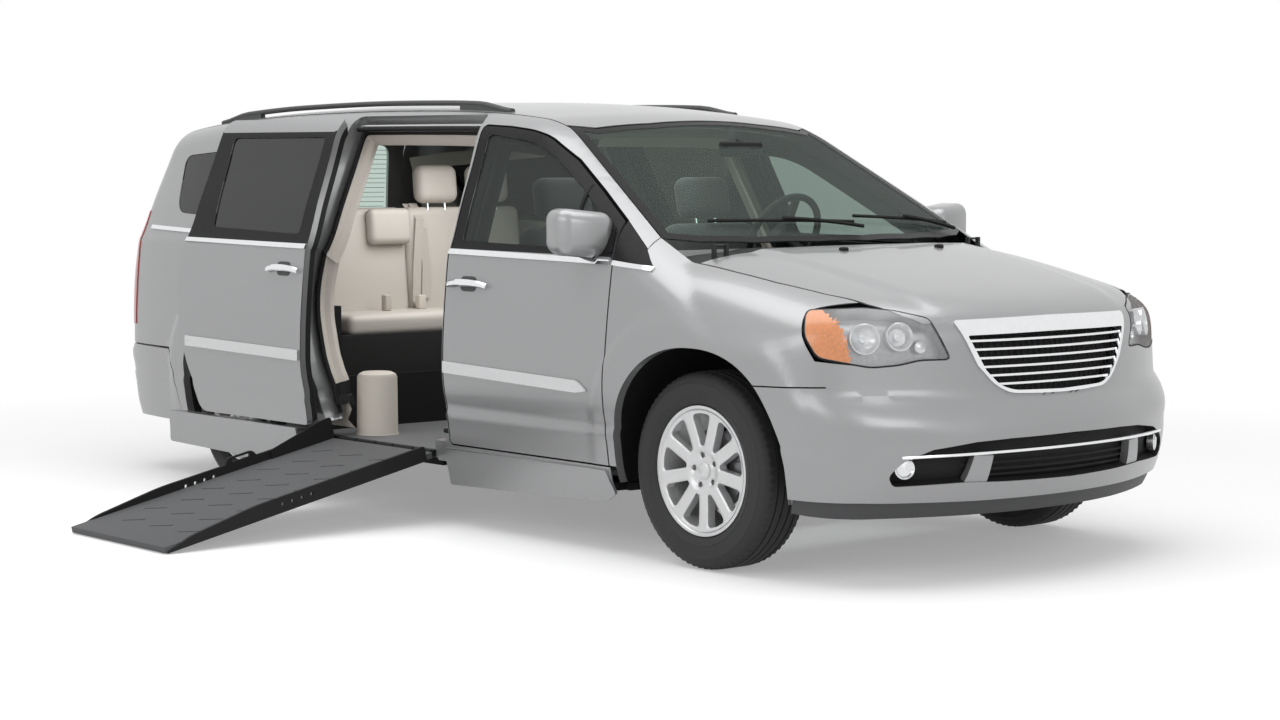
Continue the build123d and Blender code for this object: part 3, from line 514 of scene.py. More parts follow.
def band(rings, mark=0, closed=True):
    """Quads between rings of equal numbers of points."""
    count = len(rings[0])
    points = np.vstack(rings)
    faces = []
    for r in range(len(rings) - 1):
        for k in range(count if closed else count - 1):
            a, b = r * count + k, r * count + (k + 1) % count
            faces.append((a, b, b + count, a + count))
    return points, faces, [mark] * len(faces)


def raised(points, by, surface=cabin_body):
    return points + normals_of(surface, points) * by


def depth_ring(outline, depth):
    """Ring of the cabin body's side, set inwards."""
    return raised(flank(outline), -depth)


def tube(path, radius, mark=0, sides=10, closed=False, flat=1.0):
    """Round bar along a path."""
    path = np.asarray(path, float)
    count = len(path)
    ahead = np.roll(path, -1, axis=0) if closed else np.vstack([path[1:], path[-1:]])
    behind = np.roll(path, 1, axis=0) if closed else np.vstack([path[:1], path[:-1]])
    along = ahead - behind
    along /= np.maximum(np.linalg.norm(along, axis=1, keepdims=True), 1e-9)
    up = np.tile([0.0, 0.0, 1.0], (count, 1))
    up[np.abs(along[:, 2]) > 0.92] = [1.0, 0.0, 0.0]
    side = np.cross(up, along)
    side /= np.linalg.norm(side, axis=1, keepdims=True)
    over = np.cross(along, side)
    radii = np.broadcast_to(np.asarray(radius, float), (count,))
    angles = np.linspace(0, 2 * math.pi, sides, endpoint=False)
    points = path[:, None] + radii[:, None, None] * (
        np.cos(angles)[None, :, None] * side[:, None] + flat * np.sin(angles)[None, :, None] * over[:, None]
    )
    faces = []
    for k in range(count if closed else count - 1):
        n = (k + 1) % count
        for s in range(sides):
            t = (s + 1) % sides
            faces.append((k * sides + s, k * sides + t, n * sides + t, n * sides + s))
    if not closed:
        faces.append(tuple(range(sides)))
        faces.append(tuple((count - 1) * sides + s for s in reversed(range(sides))))
    return points.reshape(-1, 3), faces, [mark] * len(faces)


def block(low, high, radius=0.008, mark=0, sides=3):
    """Box with rounded edges."""
    low, high = np.minimum(low, high).astype(float), np.maximum(low, high).astype(float)
    half = (high - low) / 2
    radius = min(radius, half.min() * 0.98)
    values = []
    for h in half:
        corner = h - radius + radius * np.sin(np.linspace(0, math.pi / 2, sides + 1))
        values.append(np.concatenate([-corner[::-1], corner]))
    points, faces = [], []
    count = len(values[0])
    for axis in range(3):
        for sign in (-1, 1):
            others = [k for k in range(3) if k != axis]
            first = len(points)
            for a in values[others[0]]:
                for b in values[others[1]]:
                    p = np.zeros(3)
                    p[axis], p[others[0]], p[others[1]] = sign * half[axis], a, b
                    core = np.clip(p, -(half - radius), half - radius)
                    lean = p - core
                    points.append(core + lean / max(np.linalg.norm(lean), 1e-9) * radius)
            for i in range(count - 1):
                for j in range(count - 1):
                    here = first + i * count + j
                    q = [here, here + count, here + count + 1, here + 1]
                    right_way = (sign > 0) == (axis != 1)
                    faces.append(tuple(q if right_way else q[::-1]))
    return np.array(points) + (low + high) / 2, faces, [mark] * len(faces)


def turned(shape, axis, degrees, about=(0, 0, 0)):
    turn = np.array(Matrix.Rotation(math.radians(degrees), 3, axis))
    return (shape[0] - about) @ turn.T + about, shape[1], shape[2]


def plate(rim, holes, lift, thick, step):
    """Sheet over an outline in the x-y plane whose height follows a function."""
    uv, tris = triangulated(rim, holes, (), step)
    points = np.column_stack([uv, lift(uv)])
    up = np.tile([0.0, 0.0, 1.0], (len(points), 1))
    return slab(points, up, tris, 0.0, thick)


def disc(rows, sides=96, mark=0, closed=True):
    """Turned shape from rows of radius and height, about the z axis."""
    rows = np.array([r[:2] for r in rows], float)
    angles = np.linspace(0, 2 * math.pi, sides, endpoint=False)
    rings = [np.column_stack([r * np.cos(angles), r * np.sin(angles), np.full(sides, h)]) for r, h in rows]
    if closed:
        rings.append(rings[0])
    return band(rings, mark)


# Materials
ROUGH_SPREAD = 0.04
COAT_ROUGHNESS = 0.04
RELIEF_DEPTH = 0.001


def finish(
    name, colour, rough=0.5, metal=0.0, coat=0.0, grain=300.0, change=0.06, bump=0.0, flake=0.0, sheen=0.0,
    gloss=0.5,
):
    """Material whose colour and roughness vary finely through a noise texture."""
    mat = bpy.data.materials.new(name)
    mat.use_nodes = True
    nodes, links = mat.node_tree.nodes, mat.node_tree.links
    shader = nodes["Principled BSDF"]
    place_node = nodes.new("ShaderNodeTexCoord")
    noise = nodes.new("ShaderNodeTexNoise")
    noise.inputs["Scale"].default_value = grain
    noise.inputs["Detail"].default_value = 3.0
    links.new(place_node.outputs["Object"], noise.inputs["Vector"])
    ramp = nodes.new("ShaderNodeValToRGB")
    ramp.color_ramp.elements[0].position = 0.3
    ramp.color_ramp.elements[1].position = 0.7
    ramp.color_ramp.elements[0].color = tuple(c * (1 - change) for c in colour) + (1,)
    ramp.color_ramp.elements[1].color = tuple(min(c * (1 + change), 1) for c in colour) + (1,)
    links.new(noise.outputs["Fac"], ramp.inputs["Fac"])
    links.new(ramp.outputs["Color"], shader.inputs["Base Color"])
    spread = nodes.new("ShaderNodeMapRange")
    spread.inputs["To Min"].default_value = max(rough - ROUGH_SPREAD - flake, 0.02)
    spread.inputs["To Max"].default_value = min(rough + ROUGH_SPREAD + flake, 1.0)
    links.new(noise.outputs["Fac"], spread.inputs["Value"])
    links.new(spread.outputs["Result"], shader.inputs["Roughness"])
    shader.inputs["Metallic"].default_value = metal
    shader.inputs["Coat Weight"].default_value = coat
    shader.inputs["Coat Roughness"].default_value = COAT_ROUGHNESS
    shader.inputs["Sheen Weight"].default_value = sheen
    shader.inputs["Specular IOR Level"].default_value = gloss
    if bump:
        relief = nodes.new("ShaderNodeBump")
        relief.inputs["Strength"].default_value = bump
        relief.inputs["Distance"].default_value = RELIEF_DEPTH
        links.new(noise.outputs["Fac"], relief.inputs["Height"])
        links.new(relief.outputs["Normal"], shader.inputs["Normal"])
    return mat


def see_through(name, colour, share):
    """Tinted glass: part clear, part a dark glossy sheet."""
    mat = finish(name, colour, rough=0.02, grain=6.0, change=0.03)
    nodes, links = mat.node_tree.nodes, mat.node_tree.links
    clear = nodes.new("ShaderNodeBsdfTransparent")
    clear.inputs["Color"].default_value = tuple(min(0.22 + 1.9 * c, 1) for c in colour) + (1,)
    mix = nodes.new("ShaderNodeMixShader")
    mix.inputs["Fac"].default_value = share
    links.new(clear.outputs[0], mix.inputs[1])
    links.new(nodes["Principled BSDF"].outputs[0], mix.inputs[2])
    links.new(mix.outputs[0], nodes["Material Output"].inputs["Surface"])
    return mat


PAINT = finish(
    "silver paint", (0.335, 0.338, 0.343), rough=0.34, metal=0.60, coat=0.4, grain=1400, change=0.05, flake=0.03,
)
BLACK_GLOSS = finish("black gloss trim", (0.012, 0.012, 0.013), rough=0.36, grain=60, change=0.2, gloss=0.10)
BLACK = finish("black plastic", (0.016, 0.016, 0.017), rough=0.62, grain=900, change=0.2, bump=0.15, gloss=0.18)
GREY = finish("dark grey plastic", (0.055, 0.056, 0.058), rough=0.55, grain=900, change=0.12, bump=0.15)
RUBBER = finish("seal rubber", (0.012, 0.012, 0.012), rough=0.7, grain=500, change=0.25, gloss=0.2)
TYRE = finish("tyre rubber", (0.022, 0.022, 0.023), rough=0.72, grain=260, change=0.22, bump=0.2)
CHROME = finish("chrome trim", (0.80, 0.81, 0.82), rough=0.10, metal=1.0, grain=40, change=0.02)
BRIGHT = finish("bright side trim", (0.62, 0.625, 0.63), rough=0.2, metal=0.6, grain=90, change=0.03, coat=0.5)
ALLOY = finish("alloy", (0.66, 0.665, 0.67), rough=0.32, metal=0.45, grain=600, change=0.04, coat=0.2)
SMOKED = see_through("dark tinted glass", (0.020, 0.021, 0.022), 0.78)
CLEAR = see_through("green glass", (0.30, 0.34, 0.32), 0.10)
DOOR_GLASS = see_through("front door glass", (0.20, 0.22, 0.21), 0.14)
LENS = see_through("clear lens", (0.75, 0.76, 0.77), 0.14)
AMBER = finish("amber lens", (0.80, 0.25, 0.03), rough=0.25, grain=120, change=0.15, coat=0.6)
RED_LENS = finish("red lens", (0.36, 0.012, 0.012), rough=0.2, grain=80, change=0.15, coat=0.6)
REFLECTOR = finish("lamp reflector", (0.72, 0.73, 0.74), rough=0.22, metal=0.9, grain=30, change=0.06)
LAMP_SHELL = finish("lamp housing", (0.42, 0.43, 0.44), rough=0.3, metal=0.5, grain=70, change=0.1)
BEIGE = finish("beige trim", (0.64, 0.59, 0.53), rough=0.62, grain=700, change=0.04, bump=0.1)
LEATHER = finish("beige leather", (0.60, 0.56, 0.51), rough=0.48, grain=420, change=0.05, bump=0.25)
CHARCOAL = finish("charcoal cloth", (0.045, 0.046, 0.048), rough=0.8, grain=900, change=0.2, bump=0.4, sheen=0.2)
WEBBING = finish("seat belt", (0.52, 0.48, 0.43), rough=0.6, grain=1200, change=0.08, bump=0.3)
CARPET = finish("black carpet", (0.013, 0.013, 0.013), rough=0.95, grain=1500, change=0.4, bump=0.6)
RAMP_DECK = finish("ramp deck", (0.085, 0.087, 0.09), rough=0.7, grain=420, change=0.22, bump=0.5)
FLOOR_MAT = finish("cabin floor", (0.14, 0.143, 0.146), rough=0.66, grain=300, change=0.12, bump=0.3)
STEEL = finish("dark steel", (0.035, 0.036, 0.038), rough=0.5, metal=0.4, grain=200, change=0.2)
IRON = finish("cast iron", (0.16, 0.16, 0.165), rough=0.6, metal=0.6, grain=260, change=0.18, bump=0.4)
PIPE = finish("exhaust steel", (0.33, 0.32, 0.31), rough=0.42, metal=0.8, grain=160, change=0.15)
BRAKE = finish("brake disc", (0.36, 0.36, 0.37), rough=0.35, metal=0.8, grain=240, change=0.12)


def place(name, shape, body, materials, replaces=(), angle=32.0):
    """Makes a piece of a shape in the van's axes and fixes it to a body."""
    points, faces, marks = shape
    mesh = bpy.data.meshes.new(name)
    mesh.from_pydata([tuple(p) for p in points + ORIGIN], [], faces)
    materials = materials if isinstance(materials, (list, tuple)) else [materials]
    for material in materials:
        mesh.materials.append(material)
    mesh.polygons.foreach_set("material_index", np.array(marks, dtype=np.int32))
    mesh.validate()
    mesh.update()
    obj = bpy.data.objects.new(name, mesh)
    bpy.context.scene.collection.objects.link(obj)
    mesh.shade_smooth()
    mesh.set_sharp_from_angle(angle=math.radians(angle))
    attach(obj, body)
    if replaces:
        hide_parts(*replaces)
    return obj


# Outlines of the panels, as the solids have them: along, up, corner radius
FRONT_DOOR = rounded([
    (-0.462, 0.340), (-1.446, 0.340, 0.02), (-1.446, 1.115), (-1.512, 1.610, 0.02), (-1.340, 1.601),
    (-1.192, 1.586, 0.04), (-1.076, 1.561, 0.06), (-0.875, 1.468), (-0.671, 1.352), (-0.492, 1.246),
    (-0.440, 1.085),
])
FRONT_WINDOW = rounded([
    (-0.590, 1.138, 0.02), (-1.392, 1.152, 0.02), (-1.454, 1.578, 0.03), (-1.179, 1.548, 0.06),
    (-0.997, 1.492, 0.08), (-0.722, 1.343), (-0.628, 1.284, 0.02),
])
SLIDING_DOOR = rounded([
    (-1.462, 0.352, 0.02), (-2.330, 0.352, 0.06), (-2.492, 0.880, 0.20), (-2.436, 1.155, 0.08),
    (-2.468, 1.655, 0.05), (-1.552, 1.651, 0.03), (-1.462, 1.120),
])
SLIDING_WINDOW = rounded([
    (-1.556, 1.160, 0.02), (-2.262, 1.178, 0.02), (-2.348, 1.574, 0.03), (-1.610, 1.572, 0.03),
])
QUARTER_WINDOW = rounded([
    (-2.540, 1.186, 0.02), (-3.690, 1.232, 0.08), (-3.800, 1.496, 0.06), (-2.566, 1.570, 0.03),
])
SKEW = Flat(-0.3, 0.75, 0.6)
SIDE = Flat(0.0, 1.0, 0.12)
DOOR_VIEW = Flat(0.0, 1.0, 0.35)


def arch_outline(axle_x, spread=0.0):
    """Outline of a wheel arch, open side down."""
    turns = np.linspace(math.radians(-32), math.radians(212), 60)
    across, up = np.cos(turns), np.sin(turns)
    power = 2 / ARCH_POWER
    x = axle_x + (ARCH_RADIUS + spread) * np.sign(across) * np.abs(across) ** power
    tall = ARCH_RADIUS + ARCH_TALLER + spread
    z = AXLE_Z + ARCH_RISE + tall * np.sign(up) * np.abs(up) ** power
    return divided(np.column_stack([x, z]), 0.03)


def shrunk(outline, by):
    return grown(outline, -by)


# Doors
DOOR_FINISHES = [PAINT, BLACK_GLOSS, BLACK, GREY]


def door_skin(outline, window, cap=None):
    """Outer sheet of a door: painted below the belt and in the cap, black around the window."""
    lines = [run((BELT_X, BELT_Z), (-2.6, 1.130))] + ([run(*cap)] if cap else [])
    keep = [line[inside(shrunk(outline, 0.004), line)] for line in lines]

    def paint(p, uv):
        above = p[:, 2] > BELT_Z - (p[:, 0] - BELT_X) * BELT_SLOPE
        black = above.copy()
        if cap:
            level = np.interp(-p[:, 0], [-c[0] for c in cap], [c[1] for c in cap])
            black &= p[:, 2] < level
        return np.where(black, 1, 0)

    return panel(
        cabin_body, DOOR_VIEW, flank(outline), [flank(window)],
        [flank(line) for line in keep if len(line) > 1], paint=paint,
    )


def door_edges(outline, window, mark_edge, mark_inner, mark_trim):
    """Returned edges and inner trim of a door."""
    ring = depth_ring(outline, 0.001)
    back = depth_ring(outline, 0.028)
    deep = depth_ring(shrunk(outline, 0.012), 0.060)
    hole = depth_ring(window, 0.001)
    hole_deep = depth_ring(window, 0.040)
    inner = panel(
        cabin_body, DOOR_VIEW, flank(shrunk(outline, 0.012)), [flank(window)],
        out=-0.056, thick=0.006, step=0.05, mark=mark_trim,
        paint=lambda p, uv: np.where(p[:, 2] > 1.10, mark_inner, mark_trim),
    )
    return joined(
        band([ring, back], mark_edge), band([back, deep], mark_inner),
        band([hole_deep, hole], mark_inner), inner,
    )


def glass(outline, depth=0.006):
    """Pane that fills a window."""
    return panel(cabin_body, DOOR_VIEW, flank(grown(outline, 0.006)), out=-depth, thick=0.004, step=0.05)


def strip(rows, out, thick, step=0.03, surface=cabin_body, mark=0, cut=STEP):
    """Thin trim that follows the side, from rows of along, up and corner radius."""
    rim = on_side(surface, rounded(rows, cut))
    return panel(surface, SIDE, rim, out=out, thick=thick, step=step, mark=mark)


BELT_HALF = 0.009


def belt_strip(x0, x1, z0, z1):
    """Bright strip along the belt, from one place and height to another."""
    low, high = -BELT_HALF, BELT_HALF
    rows = [(x0, z0 + low, 0), (x1, z1 + low, 0.004), (x1, z1 + high, 0.004), (x0, z0 + high, 0)]
    return strip(rows, 0.007, 0.006)


def side_trim(x_front, z_front, x_rear, z_rear, pointed):
    """Wide strip along a door's lower half."""
    low, high = 0.024, 0.022
    front_low = (x_front, z_front - low, 0.004)
    front_high = (x_front, z_front + high, 0.004)
    if pointed:
        front_low = (x_front - 0.01, z_front - low, 0.01)
        front_high = (x_front, z_front + high, 0.015)
    tip = [(x_front + 0.055, z_front - 0.014, 0.006)] if pointed else []
    rows = [(x_rear, z_rear - low, 0.004), front_low, *tip, front_high, (x_rear, z_rear + high, 0.004)]
    return strip(rows, 0.010, 0.009)


def handle(x, z, reach=0.125):
    """Door handle over a flat dark grey patch, which is painted shade of the recess behind the handle."""
    across, up, round_off = 0.052, 0.030, 0.03
    shaded_cup_rows = [(x + a * across, z + b * up, round_off) for a, b in ((-1, -1), (1, -1), (1, 1), (-1, 1))]
    # Flat dark grey sheet on the skin: painted shade of the handle's recess
    shaded_cup = strip(shaded_cup_rows, 0.0015, 0.002, step=0.02, mark=1, cut=0.01)
    share = np.linspace(-1, 1, 15)
    bar = flank([(x + t * reach, z + 0.003 - 0.010 * abs(t) ** 3) for t in share])
    out = 0.020 - 0.012 * np.abs(share) ** 4
    bar = raised(bar, out[:, None])
    width = 0.012 - 0.002 * np.abs(share)
    return joined(tube(bar, width, flat=1.25), shaded_cup)


def front_door(side):
    skin = joined(door_skin(FRONT_DOOR, FRONT_WINDOW), door_edges(FRONT_DOOR, FRONT_WINDOW, 0, 2, 3))
    corner_rows = [(-0.456, 1.128, 0.01), (-0.592, 1.130, 0.01), (-0.628, 1.286, 0.02), (-0.500, 1.222, 0.01)]
    corner = strip(corner_rows, 0.003, 0.004, mark=1)
    trims = belt_strip(-0.452, -1.446, 1.094, 1.108)
    bright = side_trim(-0.600, 0.628, -1.440, 0.652, True)
    grip = handle(-1.300, 0.985)
    pieces = (
        ("skin", joined(skin, corner), DOOR_FINISHES), ("belt", trims, [CHROME]), ("trim", bright, [BRIGHT]),
        ("handle", grip, [CHROME, GREY]),
    )
    body = f"front_door_{side}"
    for word, shape, materials in pieces:
        covered = (f"front_door_{side}",) if word == "skin" else ()
        place(f"front_door_{side}_{word}", for_side(side, shape), body, materials, covered)
    pane = glass(FRONT_WINDOW)
    covered = (f"front_door_glass_{side}",)
    place(f"front_door_{side}_glass", for_side(side, pane), body, DOOR_GLASS, covered)
    divider = band_bar([(-0.705, 1.142), (-0.735, 1.378)], 0.009)
    place(f"front_door_{side}_divider", for_side(side, divider), body, BLACK)


def band_bar(rows, radius):
    path = flank(divided(np.array(rows), 0.03, closed=False))
    return tube(raised(path, -0.004), radius, sides=8)


def sliding_door(side):
    cap = [(-1.50, 1.594), (-2.52, 1.598)]
    skin = joined(door_skin(SLIDING_DOOR, SLIDING_WINDOW, cap), door_edges(SLIDING_DOOR, SLIDING_WINDOW, 0, 2, 3))
    belt = belt_strip(-1.464, -2.440, 1.108, 1.118)
    bright = side_trim(-1.468, 0.652, -2.385, 0.668, False)
    grip = handle(-1.612, 1.012, reach=0.118)
    pieces = (
        ("skin", skin, DOOR_FINISHES), ("belt", belt, [CHROME]), ("trim", bright, [BRIGHT]),
        ("handle", grip, [CHROME, GREY]), ("glass", glass(SLIDING_WINDOW), [SMOKED]),
    )
    for word, shape, materials in pieces:
        if side == "right":
            shape = moved(flipped(shape), -SLIDE_BACK, -SLIDE_OUT, 0)
        covered = (f"sliding_door_{side}",) if word == "skin" else ()
        if word == "glass" and side == "right":
            covered = ("sliding_door_glass",)
        place(f"sliding_door_{side}_{word}", shape, "body", materials, covered)


# Body side
DOOR_CORNER = (-0.490, 1.255)
SILL_BAND = (0.268, 0.339)


def body_side():
    top_edge = on_top(cabin_body, run((-0.335, 0.819), (-0.759, 0.724), (-1.058, 0.655), (-1.14, ROOF_SIDE)))
    roof_edge = on_top(cabin_body, run((-1.14, ROOF_SIDE), (-3.955, ROOF_SIDE)))
    tail_edge = on_end(run((ROOF_SIDE, 1.60), (ROOF_SIDE, 0.612)), front=False)
    low_edge = flank(run((-4.02, 0.610), (-3.624, 0.610), (-3.56, SILL_Z), (-0.455, SILL_Z)))
    opening = grown(FRONT_DOOR, SEAM)
    corner = int(np.argmin(np.hypot(opening[:, 0] - DOOR_CORNER[0], opening[:, 1] - DOOR_CORNER[1])))
    front_edge = flank(opening[:corner + 1])
    foot = flank(run((-0.470, 1.240), (-0.319, 1.146)))
    rough = np.vstack([top_edge, roof_edge[1:], tail_edge, low_edge, front_edge, foot])
    rim = SKEW.lift(cabin_body, divided(SKEW.lay(rough)), rough)
    holes = [flank(o) for o in (grown(SLIDING_DOOR, SEAM), QUARTER_WINDOW, arch_outline(-WHEELBASE))]
    cuts = [flank(run(*[(x, z) for z in SILL_BAND])) for x in (RAMP_X0 - RAMP_ROOM, RAMP_X1 + RAMP_ROOM)]
    skin = panel(cabin_body, SKEW, rim, holes, cuts)
    jambs = [jamb(FRONT_DOOR, 1), jamb(SLIDING_DOOR, 0)]
    lip = arch_lip(-WHEELBASE, cabin_body)
    quarter = band([depth_ring(QUARTER_WINDOW, 0.03), depth_ring(QUARTER_WINDOW, 0.0)], 2)
    return joined(skin, *jambs, lip, quarter)


def jamb(outline, paint_mark):
    """Stepped frame of a door opening."""
    outer = grown(outline, SEAM)
    inner = shrunk(outline, LAND)
    steps = ((inner, REBATE), (outer, REBATE), (outer, 0.001))
    return band([depth_ring(ring, depth) for ring, depth in steps], paint_mark)


def doorway_frame(outline):
    """Lining round a door opening, on the cabin side."""
    inner = shrunk(outline, LAND)
    deep = shrunk(outline, LAND + 0.014)
    steps = ((deep, WALL + 0.02), (deep, WALL), (inner, WALL - 0.02), (inner, REBATE))
    points, faces, _ = band([depth_ring(ring, depth) for ring, depth in steps])
    marks = [1 if min(points[k][2] for k in face) < LINING_LOW else 0 for face in faces]
    return points, faces, marks


def seal(outline):
    """Rubber seal that lies on the step of a door opening."""
    ring = depth_ring(shrunk(outline, LAND - 0.006), REBATE - SEAL_RADIUS)
    return tube(ring[::2], SEAL_RADIUS, closed=True, sides=8)


def arch_arc(axle_x, spread):
    """Points round a wheel arch, in order."""
    outline = arch_outline(axle_x, spread)
    arc = outline[outline[:, 1] > ARCH_LOW]
    turn = np.arctan2(arc[:, 1] - AXLE_Z, arc[:, 0] - axle_x)
    return arc[np.argsort((turn + math.pi / 2) % (2 * math.pi))]


def ramp_gap(shape):
    """Shape without the faces that stand in the folded ramp's way."""
    points, faces, marks = shape
    keep = []
    for k, face in enumerate(faces):
        x, _, z = points[list(face)].mean(0)
        if z > GAP_TOP or not RAMP_X0 - RAMP_ROOM < x < RAMP_X1 + RAMP_ROOM:
            keep.append(k)
    return points, [faces[k] for k in keep], [marks[k] for k in keep]


def sides(shape):
    """Shape on both sides, with the gap for the ramp on the right."""
    return joined(shape, ramp_gap(flipped(shape)))


def arch_lip(axle_x, surface):
    """Edge of a wheel arch, turned inwards."""
    outer = on_side(surface, arch_arc(axle_x, 0.0))
    inner = outer.copy()
    inner[:, 1] -= 0.035
    return band([outer, inner], 0, closed=False)


def inner_trim():
    """Beige lining of the cabin side."""
    rows = [(-1.46, 0.30), (-4.00, 0.30), (-4.00, 1.55, 0.05), (-3.6, 1.585), (-1.56, 1.60), (-1.46, 1.12)]
    rim = flank(rounded(rows, 0.05))
    openings = (shrunk(SLIDING_DOOR, LAND), shrunk(QUARTER_WINDOW, 0.012), arch_outline(-WHEELBASE))
    return panel(cabin_body, SKEW, rim, [flank(o) for o in openings], out=-WALL + 0.002, thick=0.004, step=0.06)


for word in ("left", "right"):
    front_door(word)
    sliding_door(word)

side_shape = body_side()
place(
    "body_side_skins", sides(side_shape), "body", [PAINT, BLACK, BLACK_GLOSS],
    ("body_side_left", "body_side_right"),
)
place("door_seals", sides(joined(seal(SLIDING_DOOR), seal(FRONT_DOOR))), "body", RUBBER)
place("cabin_lining", sides(inner_trim()), "body", BEIGE)
place(
    "doorway_frames", sides(joined(doorway_frame(SLIDING_DOOR), marked(doorway_frame(FRONT_DOOR), 1))), "body",
    [BEIGE, BLACK],
)
place("quarter_panes", both(glass(QUARTER_WINDOW, 0.003)), "body", SMOKED, ("quarter_glass",))
place("quarter_belt", both(belt_strip(-2.500, -3.900, 1.122, 1.160)), "body", CHROME)

# Roof, windscreen, bonnet and wings
ROOF_EDGE = 0.650
roof_rim = on_top(cabin_body, divided(np.array([
    (-0.985, 0.30), (-0.985, -0.30), (-1.02, -0.56), (-1.09, -ROOF_EDGE), (-3.948, -ROOF_EDGE), (-3.955, 0.0),
    (-3.948, ROOF_EDGE), (-1.09, ROOF_EDGE), (-1.02, 0.56),
]), STEP))
place("roof_skin", panel(cabin_body, Flat(0, 0, 1), roof_rim), "body", PAINT, ("roof",))

screen_rows = [
    (-0.062, 0.0), (-0.085, 0.25), (-0.150, 0.50), (-0.245, 0.70), (-0.330, 0.812), (-0.759, 0.717),
    (-1.058, 0.648), (-1.085, 0.640), (-1.012, 0.56), (-0.978, 0.30), (-0.978, 0.0),
]
screen_half = run(*screen_rows)
screen_outline = mirrored(screen_half, FLIP_SECOND)
screen_rim = on_top(cabin_body, screen_outline)
SCREEN_VIEW = Flat(0.7, 0.0, 0.7)
screen_clear = on_top(cabin_body, shrunk(screen_outline, 0.035))


def screen_paint(p, uv):
    return np.where(inside(SCREEN_VIEW.lay(screen_clear), uv), 0, 1)


screen = panel(
    cabin_body, SCREEN_VIEW, screen_rim, lines=[looped(screen_clear)], out=-0.003, thick=0.005,
    paint=screen_paint,
)
place("windscreen_pane", screen, "body", [CLEAR, BLACK_GLOSS], ("windscreen",))

bonnet_half = run(
    (0.8305, 0.0), (0.822, 0.20), (0.790, 0.42), (0.745, 0.57), (0.700, 0.622), (0.600, 0.690), (0.455, 0.745),
    (0.250, 0.786), (0.060, 0.803), (-0.128, 0.806), (-0.045, 0.42), (-0.018, 0.0),
)
bonnet_outline = mirrored(bonnet_half, FLIP_SECOND)
place(
    "bonnet_skin", panel(front_body, Flat(0.45, 0, 0.9), on_top(front_body, bonnet_outline), thick=0.005),
    "bonnet", PAINT, ("bonnet",),
)


def wing_body(p):
    """Front body with the foot of the windscreen post."""
    return np.minimum(front_body(p), cabin_body(p))


WING_VIEW = Flat(0.15, 0.7, 0.7)
WING_LINE = [(0.10, 0.686), (0.598, 0.698), (0.560, 0.790)]
wing_low = on_side(wing_body, run(
    (0.598, 0.698), (0.10, 0.686), (0.10, 0.34), (-0.455, 0.34), (-0.433, 1.086), (-0.236, 1.078),
    (-0.315, 1.140),
))
wing_top = on_top(wing_body, run(
    (-0.331, 0.819), (-0.128, 0.813), (0.060, 0.810), (0.250, 0.793), (0.455, 0.752), (0.575, 0.710),
))
lamp_side = on_side(front_body, run((0.484, 0.952), (0.515, 0.870), (0.560, 0.790)))
wing_rough = np.vstack([wing_low, wing_top, lamp_side])
wing_rim = WING_VIEW.lift(wing_body, divided(WING_VIEW.lay(wing_rough)), wing_rough)
wing = joined(
    panel(wing_body, WING_VIEW, wing_rim, [on_side(front_body, arch_outline(ARCH_X))]),
    arch_lip(ARCH_X, front_body),
)
place("wing_skins", both(wing), "body", PAINT, ("wings",))
tip_rows = [(-0.434, 1.084), (-0.238, 1.066, 0.004), (-0.232, 1.080, 0.004), (-0.434, 1.102)]
wing_chrome = strip(tip_rows, 0.007, 0.007, surface=wing_body)
place("wing_belt", both(wing_chrome), "body", CHROME)
foot_rows = [(-0.437, 1.100), (-0.238, 1.081, 0.006), (-0.319, 1.144), (-0.478, 1.244, 0.004)]
post_foot = strip(foot_rows, 0.001, 0.004, surface=wing_body)
place("post_foot_trim", both(post_foot), "body", BLACK_GLOSS)

# Front bumper, grille and lamps
FRONT = Round(0.0)
SLOT = [
    (0.0, 0.512), (0.30, 0.508), (0.44, 0.502), (0.60, 0.482), (0.70, 0.446, 0.03), (0.745, 0.392, 0.02),
    (0.722, 0.356, 0.015), (0.48, 0.362), (0.30, 0.356), (0.0, 0.352),
]
GRILLE = [
    (0.0, 0.916), (0.462, 0.912, 0.02), (0.385, 0.760), (0.318, 0.690, 0.03), (0.250, 0.657, 0.05), (0.12, 0.650),
    (0.0, 0.648),
]
LAMP = [
    (0.765, 0.555, 0.925), (0.685, 0.655, 0.952), (0.600, 0.715, 0.962), (0.492, 0.885, 0.955),
    (0.520, 0.91, 0.870), (0.566, 0.895, 0.798), (0.683, 0.760, 0.764), (0.735, 0.680, 0.770),
    (0.765, 0.600, 0.786), (0.803, 0.490, 0.786),
]


def whole(half_rows, by=0.0):
    """Symmetric outline in across and up from its left half."""
    half = rounded(half_rows, 0.02, closed=False)
    outline = mirrored(half, FLIP_FIRST)
    return grown(outline, by) if by else outline


def lamp_ring(by=0.0):
    flat = FRONT.lay(np.array(LAMP))
    outline = rounded([(a, b, 0.02) for a, b in flat], 0.015)
    if by:
        outline = grown(outline, by)
    return FRONT.lift(front_body, outline, None)


bumper_low = on_end(run((0.0, 0.292), (0.40, 0.292), (0.70, 0.297), (0.80, 0.300)))
bumper_side = on_side(front_body, run((0.60, 0.300), (0.10, 0.300), *[(x, z - 0.005) for x, z in WING_LINE]))
lamp_low = np.array(LAMP)[6:]
bumper_up = np.vstack([lamp_low, [LAMP[0]], on_end(run((0.54, 0.930), (0.47, 0.926), (0.0, 0.926)))])
bumper_flat = FRONT.lay(np.vstack([bumper_low, bumper_side, bumper_up]))
bumper_rim = FRONT.lift(front_body, divided(mirrored(bumper_flat, FLIP_FIRST)), None)
bumper_holes = [on_end(whole(SLOT)), on_end(whole(GRILLE)), lamp_ring(0.004), lamp_ring(0.004) * [1, -1, 1]]
arch_left = on_side(front_body, arch_outline(ARCH_X))
bumper_holes += [arch_left, arch_left * [1, -1, 1]]
place("front_bumper_skin", panel(front_body, FRONT, bumper_rim, bumper_holes), "body", PAINT, ("front_bumper",))


